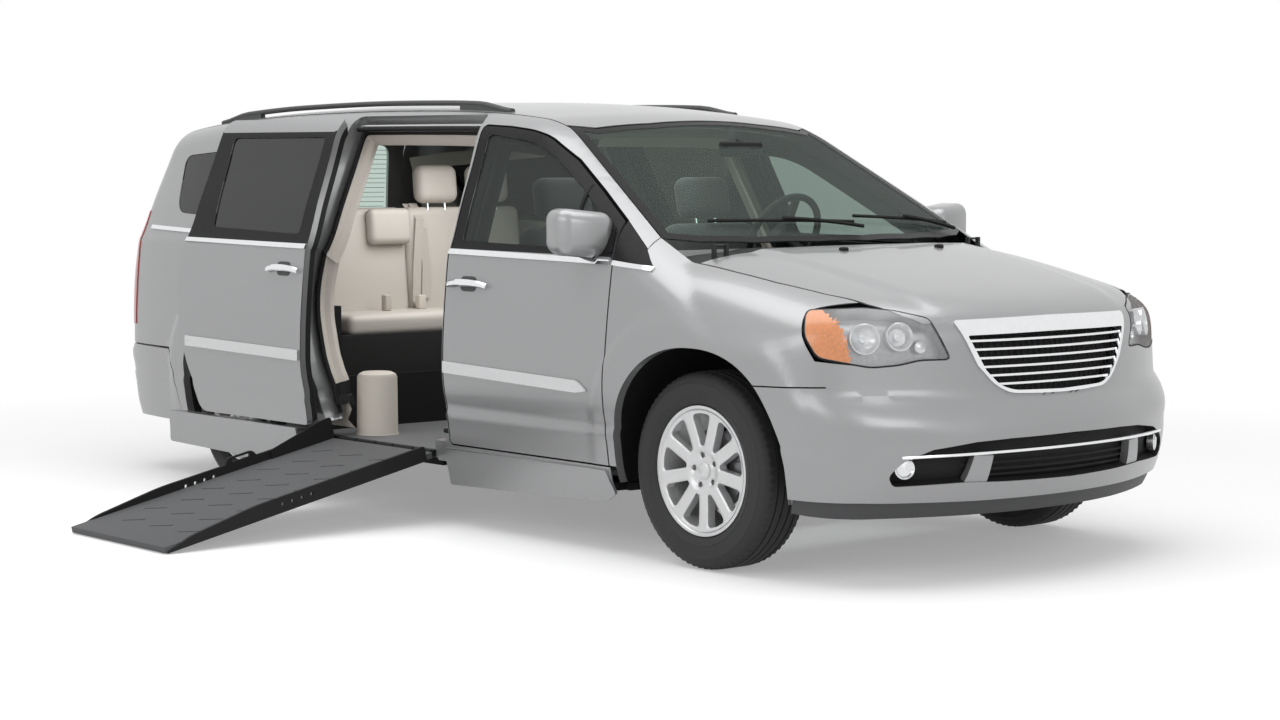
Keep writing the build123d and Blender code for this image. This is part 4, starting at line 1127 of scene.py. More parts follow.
def inward(ring, depth):
    return raised(ring, -depth, front_body)


slot_ring = on_end(whole(SLOT))
slot_walls = band([slot_ring, inward(slot_ring, 0.05)], 0)
slot_back = panel(front_body, FRONT, on_end(whole(SLOT, 0.01)), out=-0.045, thick=0.004, step=0.04)
slats = []
for level in (0.372, 0.396, 0.420):
    path = on_end(np.column_stack([np.linspace(-0.36, 0.36, 30), np.full(30, level)]))
    slats.append(tube(inward(path, 0.030), 0.0045, sides=6))
place("bumper_recess", joined(slot_walls, slot_back, *slats), "body", BLACK)
bar_path = on_end(
    np.column_stack([np.linspace(-0.705, 0.705, 70), 0.455 + 0.010 * np.cos(np.linspace(-1.4, 1.4, 70))])
)
place("bumper_bar", tube(inward(bar_path, 0.006), 0.0075, sides=10), "body", CHROME)
bridge_rows = [(0.475, 0.352), (0.385, 0.350), (0.372, 0.452), (0.448, 0.454)]
bridge = panel(front_body, FRONT, on_end(divided(np.array(bridge_rows), 0.02)), out=-0.004, thick=0.03)
place("bumper_bridges", both(bridge), "body", PAINT)
fog_middle = inward(on_end(np.array([(0.689, 0.415)])), 0.018)[0]
fog_rows = [(0.0, 0.004), (0.026, 0.0), (0.032, 0.006), (0.036, 0.004), (0.036, -0.02), (0.0, -0.02)]
fog = turned(disc(fog_rows, 40, closed=False), "Y", 90)
fog = moved(turned(fog, "Z", 28), *fog_middle)
place("fog_lamps", both(fog), "body", REFLECTOR)

# Chin below the bumper
chin_left = on_end(run((0.0, 0.289), (0.40, 0.289), (0.70, 0.294), (0.80, 0.297)))
chin_side = on_side(front_body, run((0.60, 0.297), (0.455, 0.297), (0.435, 0.245), (0.60, 0.235)))
chin_low = on_end(run((0.78, 0.232), (0.40, 0.229), (0.0, 0.229)))
chin_flat = FRONT.lay(np.vstack([chin_left, chin_side, chin_low]))
chin_rim = FRONT.lift(front_body, divided(mirrored(chin_flat, FLIP_FIRST)), None)
place("bumper_chin", panel(front_body, FRONT, chin_rim, out=-0.014), "body", GREY)

# Grille
GRILLE_BARS = 6
GRILLE_RIBS = 13
GRILLE_TOP_BAR = 0.845
GRILLE_PITCH = 0.0305
grille_ring = whole(GRILLE)
hole_rows = [
    (0.0, 0.864), (0.418, 0.862, 0.01), (0.352, 0.742), (0.296, 0.688, 0.03), (0.235, 0.668, 0.03), (0.0, 0.662),
]
hole_ring = whole(hole_rows)
surround = panel(front_body, FRONT, on_end(grille_ring), [on_end(hole_ring)], out=0.009, thick=0.030, step=0.015)
bars = []
for k in range(GRILLE_BARS):
    level = GRILLE_TOP_BAR - k * GRILLE_PITCH
    reach = np.interp(level, [0.664, 0.69, 0.742, 0.862], [0.22, 0.298, 0.352, 0.418])
    path = on_end(np.column_stack([np.linspace(-reach, reach, 40), np.full(40, level)]))
    bars.append(tube(inward(path, 0.002), 0.0055, sides=8))
place("grille_surround", joined(surround, *bars), "body", CHROME, ("grille",))
grille_back = panel(front_body, FRONT, on_end(grown(hole_ring, 0.012)), out=-0.035, thick=0.004, step=0.04)
grille_ribs = []
for k in range(-GRILLE_RIBS, GRILLE_RIBS + 1):
    y = k * GRILLE_PITCH
    top, low = 0.86, np.interp(abs(y), [0.0, 0.235, 0.296, 0.352, 0.418], [0.664, 0.672, 0.69, 0.742, 0.85])
    path = on_end(np.array([(y, top), (y, (top + low) / 2), (y, low)]))
    grille_ribs.append(tube(inward(path, 0.026), 0.003, sides=6))
place("grille_mesh", joined(grille_back, *grille_ribs), "body", BLACK)
bonnet_lip = on_end(np.column_stack([np.linspace(-0.55, 0.55, 60), 0.919 + 0.006 * np.linspace(-1, 1, 60) ** 2]))
place("bonnet_seal", tube(inward(bonnet_lip, 0.006), 0.006, sides=6), "body", RUBBER)

# Headlamps
AMBER_EDGE = 0.835
REFLECTOR_MARK = 2


def headlamp():
    """Clear lens of a headlamp, and the shape behind it."""
    ring = lamp_ring()
    lens = panel(front_body, FRONT, ring, out=0.002, thick=0.004, step=0.02, mark=0)

    def amber(p, uv):
        return np.where(p[:, 1] > AMBER_EDGE - (0.92 - p[:, 2]) * 0.10, 1, 0)

    back = panel(front_body, FRONT, lamp_ring(-0.004), out=-0.045, thick=0.004, step=0.015, mark=0)
    walls = band([inward(ring, 0.001), inward(lamp_ring(-0.004), 0.047)], 0)
    amber_lens = panel(front_body, FRONT, ring, out=-0.001, thick=0.003, step=0.012, paint=amber)
    keep = [k for k, m in enumerate(amber_lens[2]) if m == 1]
    amber_part = (amber_lens[0], [amber_lens[1][k] for k in keep], [1] * len(keep))
    bowls = []
    for spot, radius in (((0.770, 0.862), 0.050), ((0.655, 0.868), 0.046)):
        bowl_rows = [
            (0.012, -0.016), (0.030, -0.010), (radius - 0.006, 0.006), (radius, 0.016), (radius + 0.004, 0.014),
            (radius + 0.004, -0.016),
        ]
        bulb_rows = [(0.0, 0.010), (0.009, 0.006), (0.012, -0.016), (0.0, -0.016)]
        bowls += [aimed(disc(bowl_rows, 40), spot, 0.030), aimed(disc(bulb_rows, 20, closed=False), spot, 0.030)]
    marker_rows = [(0.0, 0.006), (0.010, 0.004), (0.018, 0.0), (0.021, 0.008), (0.023, 0.0), (0.0, -0.010)]
    bowls.append(aimed(disc(marker_rows, 24, closed=False), (0.585, 0.828), 0.028))
    inside_shape = joined(marked(back, 0), marked(walls, 0), amber_part, *bowls)
    return lens, inside_shape


def aimed(shape, spot, depth):
    """Turned shape behind a place of the nose, its axis square to the surface."""
    ring = on_end(np.array([spot]))
    heading = normals_of(front_body, ring)[0]
    turn = np.array(Vector((0, 0, 1)).rotation_difference(Vector(heading)).to_matrix())
    return shape[0] @ turn.T + inward(ring, depth)[0], shape[1], [REFLECTOR_MARK] * len(shape[1])


lamp_lens, lamp_inside = headlamp()
place("headlamp_lenses", both(lamp_lens), "body", LENS, ("headlamps",))
place("headlamp_insides", both(lamp_inside), "body", [LAMP_SHELL, AMBER, REFLECTOR])
lamp_seal = tube(inward(lamp_ring(0.002), 0.003), 0.0045, closed=True, sides=6)
place("headlamp_seals", both(lamp_seal), "body", RUBBER)

# Skirts under the doors
skirt_front = flank(rounded([
    (-0.475, 0.322, 0.006), (-1.484, 0.318, 0.006), (-1.484, 0.170, 0.01), (-0.505, 0.200, 0.02),
    (-0.440, 0.235, 0.01),
]))
skirt_rear = flank(rounded([
    (-1.545, 0.336, 0.006), (-2.585, 0.336, 0.006), (-2.640, 0.190, 0.02), (-1.545, 0.165, 0.01),
]))


def shelf(x_front, x_rear, z):
    """Top of a skirt, turned in under the doors."""
    edge = raised(flank(run((x_front, z), (x_rear, z))), 0.006)
    return band([edge, edge - [0, 0.060, 0]], 0, closed=False)


skirt_a = joined(panel(cabin_body, SIDE, skirt_front, out=0.010, thick=0.012), shelf(-0.475, -1.484, 0.320))
skirt_b = joined(panel(cabin_body, SIDE, skirt_rear, out=0.010, thick=0.012), shelf(-1.545, -2.585, 0.334))
skirts = joined(skirt_a, skirt_b, flipped(skirt_a), moved(flipped(skirt_b), -SLIDE_BACK, -SLIDE_OUT, 0))
place("skirt_skins", skirts, "body", PAINT, ("side_skirts",))

# Tail
REAR_VIEW = Round(-3.3, rear=True)
REAR_FLAT = Flat(-1.0, 0.0, 0.15)
gate_half = run((0.0, 1.640), (0.55, 1.622), (0.649, 1.590), (0.649, 0.640), (0.62, 0.615), (0.0, 0.615))
gate_outline = mirrored(gate_half, FLIP_FIRST)
rear_window = rounded([(-0.585, 1.140, 0.05), (0.585, 1.140, 0.05), (0.560, 1.560, 0.06), (-0.560, 1.560, 0.06)])
gate_rim = on_end(gate_outline, front=False)
gate_hole = on_end(rear_window, front=False)
gate = panel(cabin_body, REAR_FLAT, gate_rim, [gate_hole], thick=0.02)
place("tailgate_skin", gate, "tailgate", PAINT, ("tailgate",))
rear_pane = panel(cabin_body, REAR_FLAT, on_end(grown(rear_window, 0.008), front=False), out=-0.003, thick=0.004)
place("tailgate_pane", rear_pane, "tailgate", CLEAR, ("tailgate_glass",))
heat_lines = []
for level in np.arange(1.17, 1.54, 0.024):
    path = on_end(np.column_stack([np.linspace(-0.56, 0.56, 24), np.full(24, level)]), front=False)
    heat_lines.append(tube(raised(path, -0.009), 0.0012, sides=4))
place("heater_lines", joined(*heat_lines), "tailgate", GREY)
tail_flat = REAR_VIEW.lay(on_end(run((0.672, 0.700), (0.672, 1.228)), front=False))
tail_side = REAR_VIEW.lay(flank(run((-3.985, 1.235), (-3.985, 0.700))))
tail_rim = REAR_VIEW.lift(cabin_body, divided(np.vstack([tail_flat, tail_side])), None)
tail_lamp = panel(cabin_body, REAR_VIEW, tail_rim, out=0.004, thick=0.006)
place("tail_lamp_lenses", both(tail_lamp), "body", RED_LENS, ("tail_lamps",))
rear_bumper_rough = np.vstack([
    on_end(run((0.0, SILL_Z), (0.80, SILL_Z)), front=False),
    flank(run((-3.95, SILL_Z), (-3.56, SILL_Z), (-3.632, 0.600), (-4.02, 0.603))),
    on_end(run((0.80, 0.603), (0.0, 0.603)), front=False),
])
rear_flat = REAR_VIEW.lay(rear_bumper_rough)
rear_rim = REAR_VIEW.lift(cabin_body, divided(mirrored(rear_flat, FLIP_FIRST)), None)
rear_bumper = panel(cabin_body, REAR_VIEW, rear_rim)
place("rear_bumper_skin", rear_bumper, "body", PAINT, ("rear_bumper",))

# Wheels
RIM_RADIUS = 0.2355
FACE_RADIUS = 0.219
LUG_HOLE = 0.0105
SPOKES = 9
LUGS = 5
LUG_TURN = 0.25
LUG_CIRCLE = 0.0572
TREAD_BLOCKS = 75
WHEEL_TURN = {"front": 12, "rear": 31}
CALIPER_RADIUS = 0.150


def lug_places():
    turns = [2 * math.pi * (k + LUG_TURN) / LUGS for k in range(LUGS)]
    return [LUG_CIRCLE * np.array([math.cos(turn), math.sin(turn)]) for turn in turns]


def spoke_windows():
    """Outlines between the spokes."""
    rows = [
        (0.090, -0.008, 0.010), (0.203, -0.048, 0.022), (0.2085, 0.0), (0.203, 0.048, 0.022),
        (0.090, 0.008, 0.010),
    ]
    outline = rounded(rows, 0.008)
    windows = []
    for k in range(SPOKES):
        turn = 2 * math.pi * k / SPOKES
        c, s = math.cos(turn), math.sin(turn)
        windows.append(outline @ np.array([[c, s], [-s, c]]))
    return windows


def wheel_rim():
    """Spoked wheel about the z axis, its face up."""
    barrel_rows = [
        (RIM_RADIUS, 0.095), (RIM_RADIUS, 0.088), (0.224, 0.082), (0.216, 0.05), (0.206, -0.02), (0.212, -0.08),
        (RIM_RADIUS, -0.088), (RIM_RADIUS, -0.095), (0.205, -0.09), (0.198, -0.02), (0.205, 0.045),
        (0.214, 0.084),
        (0.226, 0.096),
    ]
    barrel = disc(barrel_rows, 120)
    turns = np.linspace(0, 2 * math.pi, 144, endpoint=False)
    rim = np.array([(FACE_RADIUS * math.cos(a), FACE_RADIUS * math.sin(a)) for a in turns])
    windows = spoke_windows()
    holes = []
    for place_at in lug_places():
        turns = np.linspace(0, 2 * math.pi, 20, endpoint=False)
        holes.append(np.array([place_at + LUG_HOLE * np.array([math.cos(a), math.sin(a)]) for a in turns]))

    def height(uv):
        r = np.linalg.norm(uv, axis=1)
        base = 0.088 + 0.004 * smooth((r - 0.12) / 0.1) - 0.010 * smooth((0.085 - r) / 0.03)
        edge = distance_to([looped(w) for w in windows] + [looped(h) for h in holes], uv)
        return base - 0.004 * (1 - smooth(edge / 0.006))

    face = plate(rim, windows + holes, height, 0.034, 0.0075)
    cap = disc([(0.0, 0.0865), (0.026, 0.0855), (0.031, 0.083), (0.033, 0.070), (0.0, 0.070)], 48, closed=False)
    cap_ring = disc([(0.0235, 0.0858), (0.0250, 0.0868), (0.0265, 0.0856), (0.0250, 0.0846)], 48)
    hub = disc([(0.0, 0.050), (0.085, 0.050), (0.085, -0.01), (0.040, -0.01)], 48, mark=1, closed=False)
    lug_rows = [(0.0, 0.069), (0.006, 0.069), (0.007, 0.066), (0.007, 0.045), (0.0, 0.045)]
    lug = disc(lug_rows, 6, mark=2, closed=False)
    lugs = [moved(lug, x, y, 0) for x, y in lug_places()]
    return joined(barrel, face, cap, cap_ring, hub, *lugs)


def tyre():
    """Tyre about the z axis with tread blocks and grooves."""
    crown = 0.3575
    groove = 0.007
    section = [
        (0.2358, 0.086), (0.2400, 0.092), (0.2460, 0.099), (0.2620, 0.1075), (0.2650, 0.1083), (0.2668, 0.1100),
        (0.2690, 0.1100), (0.2710, 0.1088), (0.2920, 0.1118), (0.3120, 0.1100), (0.3150, 0.1108),
        (0.3170, 0.1090),
        (0.3290, 0.1045), (0.3390, 0.0990), (0.3480, 0.0920), (0.3535, 0.0850), (0.3560, 0.0790),
        (0.3570, 0.0640),
    ]
    marks = []
    for inner, outer in ((0.056, 0.048), (0.022, 0.014)):
        marks += [
            (crown, inner), (crown - groove, inner - 0.001), (crown - groove, outer + 0.001), (crown, outer),
        ]
    right = section + marks
    rows = right + [(r, -h) for r, h in reversed(right)]
    base = disc(rows, 150, closed=False)
    points = base[0].copy()
    radius = np.linalg.norm(points[:, :2], axis=1)
    turn = np.arctan2(points[:, 1], points[:, 0])
    tread = (radius > 0.3450) & (np.abs(points[:, 2]) > 0.058)
    wave = np.cos(turn * TREAD_BLOCKS)
    sink = np.where(tread & (wave < -0.3), 0.0055, 0.0)
    scale = (radius - sink) / radius
    points[:, :2] *= scale[:, None]
    # Sipes: thin tubes of the darker seal rubber (mark 1), painted shade of the tread's slits
    shaded_sipes = []
    sunk = crown - 0.0010
    for k in range(TREAD_BLOCKS):
        angle = 2 * math.pi * (k + 0.5) / TREAD_BLOCKS
        for low, high, lean in ((0.024, 0.046, 0.010), (-0.046, -0.024, 0.010), (-0.011, 0.011, -0.008)):
            a = np.array([sunk * math.cos(angle), sunk * math.sin(angle), low])
            b = np.array([sunk * math.cos(angle + lean), sunk * math.sin(angle + lean), high])
            shaded_sipes.append(tube(np.array([a, b]), 0.0012, 1, sides=3))
    return joined((points, base[1], base[2]), *shaded_sipes)


def brake():
    plate_disc = disc([(0.075, 0.030), (0.145, 0.030), (0.145, 0.006), (0.075, 0.006)], 72)
    hat = disc([(0.0, 0.052), (0.070, 0.052), (0.078, 0.030), (0.078, 0.006), (0.0, 0.006)], 48, closed=False)
    return joined(plate_disc, hat)


def caliper():
    turns = np.linspace(-0.42, 0.42, 12) + 0.5
    arc = [(CALIPER_RADIUS * math.cos(a), CALIPER_RADIUS * math.sin(a), 0.020) for a in turns]
    return tube(arc, 0.024)


rim_shape, tyre_shape, brake_shape, caliper_shape = wheel_rim(), tyre(), brake(), caliper()
for end, axle_x in (("front", 0.0), ("rear", -WHEELBASE)):
    for side, sign in (("left", 1), ("right", -1)):
        spot = (axle_x, sign * HUB_Y, AXLE_Z)
        rim_set, tyre_set, brake_set, caliper_set = (
            moved(turned(turned(shape, "Z", WHEEL_TURN[end]), "X", -sign * 90), *spot)
            for shape in (rim_shape, tyre_shape, brake_shape, caliper_shape)
        )
        body = f"wheel_{end}_{side}"
        place(f"{body}_rim", rim_set, body, [ALLOY, STEEL, IRON], (f"rim_{end}_{side}",), 40)
        # The tyre's second material, seal rubber, is the painted shade of the sipes
        place(f"{body}_tyre", tyre_set, body, [TYRE, RUBBER], (f"tyre_{end}_{side}",), 28)
        place(f"{body}_brake", brake_set, body, BRAKE)
        holder = f"knuckle_{side}" if end == "front" else "body"
        place(f"caliper_{end}_{side}", caliper_set, holder, IRON)


# Wheel house liners behind the arches


def liner(axle_x, surface, y_in, wider=1.0):
    """Wheel house behind an arch, widened inside for a steered tyre."""
    outer = on_side(surface, arch_arc(axle_x, 0.004))
    outer[:, 1] -= 0.030
    centre = np.array([axle_x, y_in, AXLE_Z])
    wide = centre + (outer - centre) * (wider, 1, wider)
    wide[:, 1] = outer[:, 1] - 0.060
    inner = wide.copy()
    inner[:, 1] = y_in
    hub = centre + (inner - centre) * 0.01
    return band([outer, wide, inner, hub], 0, closed=False)


place(
    "wheel_house_liners",
    both(joined(liner(ARCH_X, front_body, 0.50, 1.08), liner(-WHEELBASE, cabin_body, 0.66))), "body", BLACK,
)

# Mirrors
MIRROR_TURN = 12
for side in ("left", "right"):
    head = block((-0.078, -0.122, -0.088), (0.066, 0.118, 0.086), 0.050, sides=6)
    bulge = head[0].copy()
    bulge[:, 0] += 0.026 * (1 - (bulge[:, 1] / 0.13) ** 2) * (bulge[:, 0] > 0)
    bulge[:, 2] += 0.010 * (bulge[:, 1] / 0.10)
    lower = bulge[:, 2] < -0.078
    marks = [1 if all(lower[k] for k in f) else 0 for f in head[1]]
    shell = moved(turned((bulge, head[1], marks), "Z", MIRROR_TURN), -0.600, 0.988, 1.198)
    arm_path = [(-0.55, 0.895, 1.142), (-0.552, 0.945, 1.150), (-0.556, 1.00, 1.168)]
    arm = tube(arm_path, [0.030, 0.026, 0.024], 1, sides=12, flat=0.7)
    foot = block((-0.600, 0.885, 1.118), (-0.500, 0.940, 1.160), 0.012, 1)
    flat_glass = block((-0.002, -0.088, -0.058), (0.004, 0.086, 0.058), 0.003, 2)
    pane = moved(turned(flat_glass, "Z", MIRROR_TURN), -0.676, 0.972, 1.200)
    mirror_shape = joined(shell, arm, foot, pane)
    place(
        f"mirror_{side}_shell", for_side(side, mirror_shape), f"front_door_{side}", [PAINT, BLACK, REFLECTOR],
        (f"mirror_{side}",), 45,
    )

# Roof rails
RAIL_Y = 0.618
share = np.linspace(0, 1, 40)
rail_base = on_top(cabin_body, np.column_stack([-1.475 - share * 2.215, np.full(40, RAIL_Y)]))
lift = 0.022 * smooth(share / 0.10) * smooth((1 - share) / 0.10) + 0.002
rail_top = rail_base + np.column_stack([np.zeros(40), np.zeros(40), lift])
rail = tube(rail_top, 0.015, sides=10, flat=0.8)
feet = []
for k0, k1 in ((0, 7), (33, 40)):
    low_rows = rail_base[k0:k1, [0, 2]] - [0, 0.006]
    high_rows = rail_top[k0:k1, [0, 2]][::-1]
    uv, tris = triangulated(np.vstack([low_rows, high_rows]), step=0.05)
    points = np.column_stack([uv[:, 0], np.full(len(uv), RAIL_Y), uv[:, 1]])
    feet.append(slab(points, np.tile([0.0, 1.0, 0.0], (len(points), 1)), tris, 0.012, 0.024))
place("roof_rail_bars", both(joined(rail, *feet)), "body", GREY, ("roof_rails",))

# Cowl, wipers and washer nozzles
cowl_half = run(
    (-0.024, 0.0), (-0.050, 0.42), (-0.134, 0.806), (-0.30, 0.806), (-0.235, 0.69), (-0.140, 0.49),
    (-0.078, 0.25),
    (-0.056, 0.0),
)
cowl_outline = mirrored(cowl_half, FLIP_SECOND)
place(
    "cowl_panel", panel(front_body, Flat(0.2, 0, 1), on_top(front_body, cowl_outline), out=-0.012, step=0.03),
    "body", BLACK, ("cowl",),
)
nozzles = []
for y in (-0.26, 0.26):
    spot = on_top(front_body, [(0.06, y)])[0]
    nozzles.append(block(spot + (-0.014, -0.016, -0.006), spot + (0.014, 0.016, 0.012), 0.007))
place("washer_nozzles", joined(*nozzles), "bonnet", BLACK)
wipers = []
for y0, y1 in ((0.70, 0.06), (0.02, -0.60)):
    ys = np.linspace(y0, y1, 16)
    xs = -0.17 - 0.30 * np.abs(ys) ** 2.0 - 0.04 * np.linspace(0, 1, 16)
    blade = on_top(cabin_body, np.column_stack([xs, ys]))
    wipers.append(tube(raised(blade, 0.012), 0.007, sides=6))
    arm = on_top(
        cabin_body,
        np.column_stack([np.linspace(-0.12 - 0.25 * y0**2, xs[8], 8), np.linspace(y0 * 0.95, ys[8], 8)]),
    )
    wipers.append(tube(raised(arm, 0.022), 0.008, sides=6))
place("wipers", joined(*wipers), "body", BLACK)

# Ramp
DECK_HALF = 0.0135
ramp_run = RAMP_HINGE[0] - RAMP_TIP_Y
ramp_drop = RAMP_HINGE[1] - DECK_HALF
RAMP_SLOPE = math.degrees(math.atan2(ramp_drop, ramp_run))
RAMP_LENGTH = math.hypot(ramp_run, ramp_drop)


def on_ramp(shape):
    """From the ramp's own axes, in which it lies flat and points to -y from its hinge."""
    return moved(turned(shape, "X", RAMP_SLOPE), 0, RAMP_HINGE[0], RAMP_HINGE[1])


def rail_plate(x_middle, thick, rows, holes=()):
    """Upright plate along the ramp from rows of length along and up."""
    uv, tris = triangulated(rounded(rows, 0.03), holes, step=0.05)
    points = np.column_stack([np.full(len(uv), x_middle), -uv[:, 0], uv[:, 1]])
    return slab(points, np.tile([1.0, 0.0, 0.0], (len(points), 1)), tris, thick / 2, thick)


def round_hole(a, b, radius):
    turns = np.linspace(0, 2 * math.pi, 20, endpoint=False)
    return np.column_stack([a + radius * np.cos(turns), b + radius * np.sin(turns)])


rail_holes = [round_hole(0.62 + 0.045 * k, 0.018, 0.0085) for k in range(4)]
rail_rows = [
    (0.06, -0.013), (0.06, 0.049, 0.01), (RAMP_LENGTH - 0.42, 0.049, 0.05), (RAMP_LENGTH - 0.12, 0.022, 0.03),
    (RAMP_LENGTH - 0.01, -0.008), (RAMP_LENGTH - 0.01, -0.013),
]
far_rail = rail_plate(RAMP_X0 + 0.008, 0.014, rail_rows, rail_holes)
near_rail = rail_plate(RAMP_X1 - 0.008, 0.014, rail_rows, rail_holes)
deck = block((RAMP_X0 + 0.010, -RAMP_LENGTH + 0.002, -0.012), (RAMP_X1 - 0.010, -0.024, 0.0128), 0.003)
RIB_LENGTH = 0.11
RIB_TURN = 24
deck_rise = []
for k in range(8):
    along = 0.20 + 0.135 * k
    for x_shift in (0.0, 0.21, 0.42):
        x = RAMP_X0 + 0.11 + x_shift + 0.06 * (k % 2)
        rib = block((x, -along - 0.004, 0.0125), (x + RIB_LENGTH, -along + 0.004, 0.0152), 0.0012)
        deck_rise.append(turned(rib, "Z", RIB_TURN, (x, -along, 0)))
place("ramp_deck_sheet", on_ramp(joined(deck, *deck_rise)), "ramp", [RAMP_DECK], ("ramp",))
loop_rows = [(0.40, 0.045), (0.42, 0.074, 0.014), (0.54, 0.074, 0.014), (0.56, 0.045)]
loop_hole = rounded(
    [(0.436, 0.052, 0.006), (0.524, 0.052, 0.006), (0.524, 0.066, 0.006), (0.436, 0.066, 0.006)], 0.01,
)
loop = rail_plate(RAMP_X0 + 0.008, 0.012, loop_rows, [loop_hole])
gusset = rail_plate(
    RAMP_X0 + 0.020, 0.008, [(0.02, 0.0), (0.02, 0.105, 0.012), (0.08, 0.100, 0.02), (0.34, 0.050), (0.34, 0.0)],
)
hinge_tubes = []
for x0, x1 in ((-0.33, -0.21), (-0.06, 0.06), (0.21, 0.33)):
    sleeve = turned(disc([(0.015, x0), (0.015, x1), (0.009, x1), (0.009, x0)], 24), "Y", 90)
    hinge_tubes.append(moved(sleeve, RAMP_X0 + (RAMP_X1 - RAMP_X0) / 2, 0, 0))
place("ramp_rails", on_ramp(joined(far_rail, near_rail, loop, gusset, *hinge_tubes)), "ramp", BLACK)

# Cabin: floor covering, riser, trims, seats
floor_skin = block((-2.630, -0.860, 0.2855), (-0.52, 0.800, 0.2895), 0.001)
threshold = block((RAMP_X0 + 0.01, -0.925, 0.268), (RAMP_X1 - 0.01, -0.862, 0.2885), 0.003)
place("cabin_floor_mat", joined(floor_skin, threshold), "body", FLOOR_MAT)
riser = block((-2.650, -0.69, 0.289), (-2.632, 0.69, 0.70), 0.006)
rear_carpet = block((-4.05, -0.688, 0.5205), (-2.64, 0.688, 0.526), 0.002)
place("riser_carpet", joined(riser, rear_carpet), "body", CARPET)
POST_ROWS = [
    (0.0, 0.562), (0.062, 0.560), (0.080, 0.551), (0.087, 0.538), (0.089, 0.30), (0.096, 0.287), (0.0, 0.287),
]
post = moved(disc(POST_ROWS, 48, closed=False), -2.330, 0.700, 0)
place("doorway_posts", both(post), "body", BEIGE, ("interior_trim",))


def cushion(name, low, high, material, radius, turn, about, replaces):
    """Padded piece from a rounded box."""
    shape = block(low, high, radius, sides=5)
    if turn:
        shape = turned(shape, "Y", turn, about)
    obj = place(name, shape, "body", material, replaces, 60)


BENCH_X = -2.622
BACK_TURN = -6.0
STEM_RADIUS = 0.006
back_foot = (BENCH_X - 0.38, 0, 0.76)
# Name, lowest and highest corner from BENCH_X, edge radius
BENCH_PADS = (
    ("bench_cushion", (-0.460, -0.615, 0.685), (-0.030, 0.615, 0.785), 0.035),
    ("bench_back_right", (-0.433, -0.612, 0.745), (-0.318, -0.072, 1.255), 0.040),
    ("bench_back_left", (-0.433, -0.066, 0.745), (-0.318, 0.612, 1.255), 0.040),
    ("bench_roll_right", (-0.325, -0.310, 1.080), (-0.258, -0.080, 1.245), 0.030),
    ("bench_head_rest_11", (-0.375, 0.0, 1.270), (-0.283, 0.230, 1.450), 0.044),
    ("bench_head_rest_42", (-0.375, 0.305, 1.270), (-0.283, 0.535, 1.450), 0.044),
)
for name, low, high, radius in BENCH_PADS:
    seat = name == "bench_cushion"
    corners = [np.add(corner, (BENCH_X, 0, 0)) for corner in (low, high)]
    turn = 0.0 if seat else BACK_TURN
    cushion(name, *corners, LEATHER, radius, turn, back_foot, ("rear_seat",) if seat else ())
stems = []
for y in (0.065, 0.165, 0.370, 0.470):
    stem = tube([(BENCH_X - 0.330, y, 1.20), (BENCH_X - 0.330, y, 1.30)], STEM_RADIUS, sides=8)
    stems.append(turned(stem, "Y", BACK_TURN, back_foot))
place("bench_stems", joined(*stems), "body", CHROME)


WEB_THICK = 0.002


def ribbon(path, wide):
    """Belt webbing along a path, wide across the van."""
    path = np.asarray(path, float)
    rings = []
    for dy, dx in ((-wide / 2, 0.0), (wide / 2, 0.0), (wide / 2, WEB_THICK), (-wide / 2, WEB_THICK)):
        rings.append(path + [dx, dy, 0.0])
    return band(rings + [rings[0]], closed=False)


belt_path = [
    (-3.05, 0.01, 1.272), (-2.972, -0.005, 1.20), (-2.950, -0.035, 1.00), (-2.930, -0.055, 0.82),
    (-2.87, -0.065, 0.79),
]
belt_path_2 = [(-3.06, -0.02, 1.270), (-2.972, 0.01, 1.16), (-2.955, 0.02, 0.98), (-2.935, 0.0, 0.83)]
buckle = block((-2.90, -0.085, 0.785), (-2.865, -0.045, 0.85), 0.006, 1)
buckle_2 = block((-2.87, -0.30, 0.785), (-2.83, -0.265, 0.86), 0.008, 0)
place(
    "bench_belts", joined(ribbon(belt_path, 0.046), ribbon(belt_path_2, 0.046), buckle, buckle_2), "body",
    [WEBBING, BEIGE],
)

SEAT_LEAN = -12.0
SEAT_FOOT = (-1.22, 0, 0.60)
for side, sign in (("left", 1), ("right", -1)):
    y0, y1 = sorted((sign * 0.14, sign * 0.64))
    middle_y = (y0 + y1) / 2
    rest_y0, rest_y1 = middle_y - 0.135, middle_y + 0.135
    replaced = ("front_seats",) if side == "left" else ()
    pads = (
        ("cushion", (-1.235, y0, 0.49), (-0.765, y1, 0.612), 0.045, 3.0, (-1.0, 0, 0.55), replaced),
        ("back", (-1.335, y0 + 0.01, 0.58), (-1.215, y1 - 0.01, 1.225), 0.05, SEAT_LEAN, SEAT_FOOT, ()),
        ("head_rest", (-1.335, rest_y0, 1.25), (-1.235, rest_y1, 1.43), 0.045, SEAT_LEAN, SEAT_FOOT, ()),
    )
    for word, low, high, radius, turn, about, covered in pads:
        cushion(f"front_{word}_{side}", low, high, CHARCOAL, radius, turn, about, covered)
    stems = []
    for y in (middle_y - 0.055, middle_y + 0.055):
        stem = tube([(-1.285, y, 1.18), (-1.285, y, 1.28)], STEM_RADIUS, sides=8)
        stems.append(turned(stem, "Y", SEAT_LEAN, SEAT_FOOT))
    place(f"front_stems_{side}", joined(*stems), "body", CHROME)
    base = block((-1.24, y0 + 0.04, 0.289), (-0.82, y1 - 0.04, 0.495), 0.02)
    place(f"front_seat_base_{side}", base, "body", BLACK)

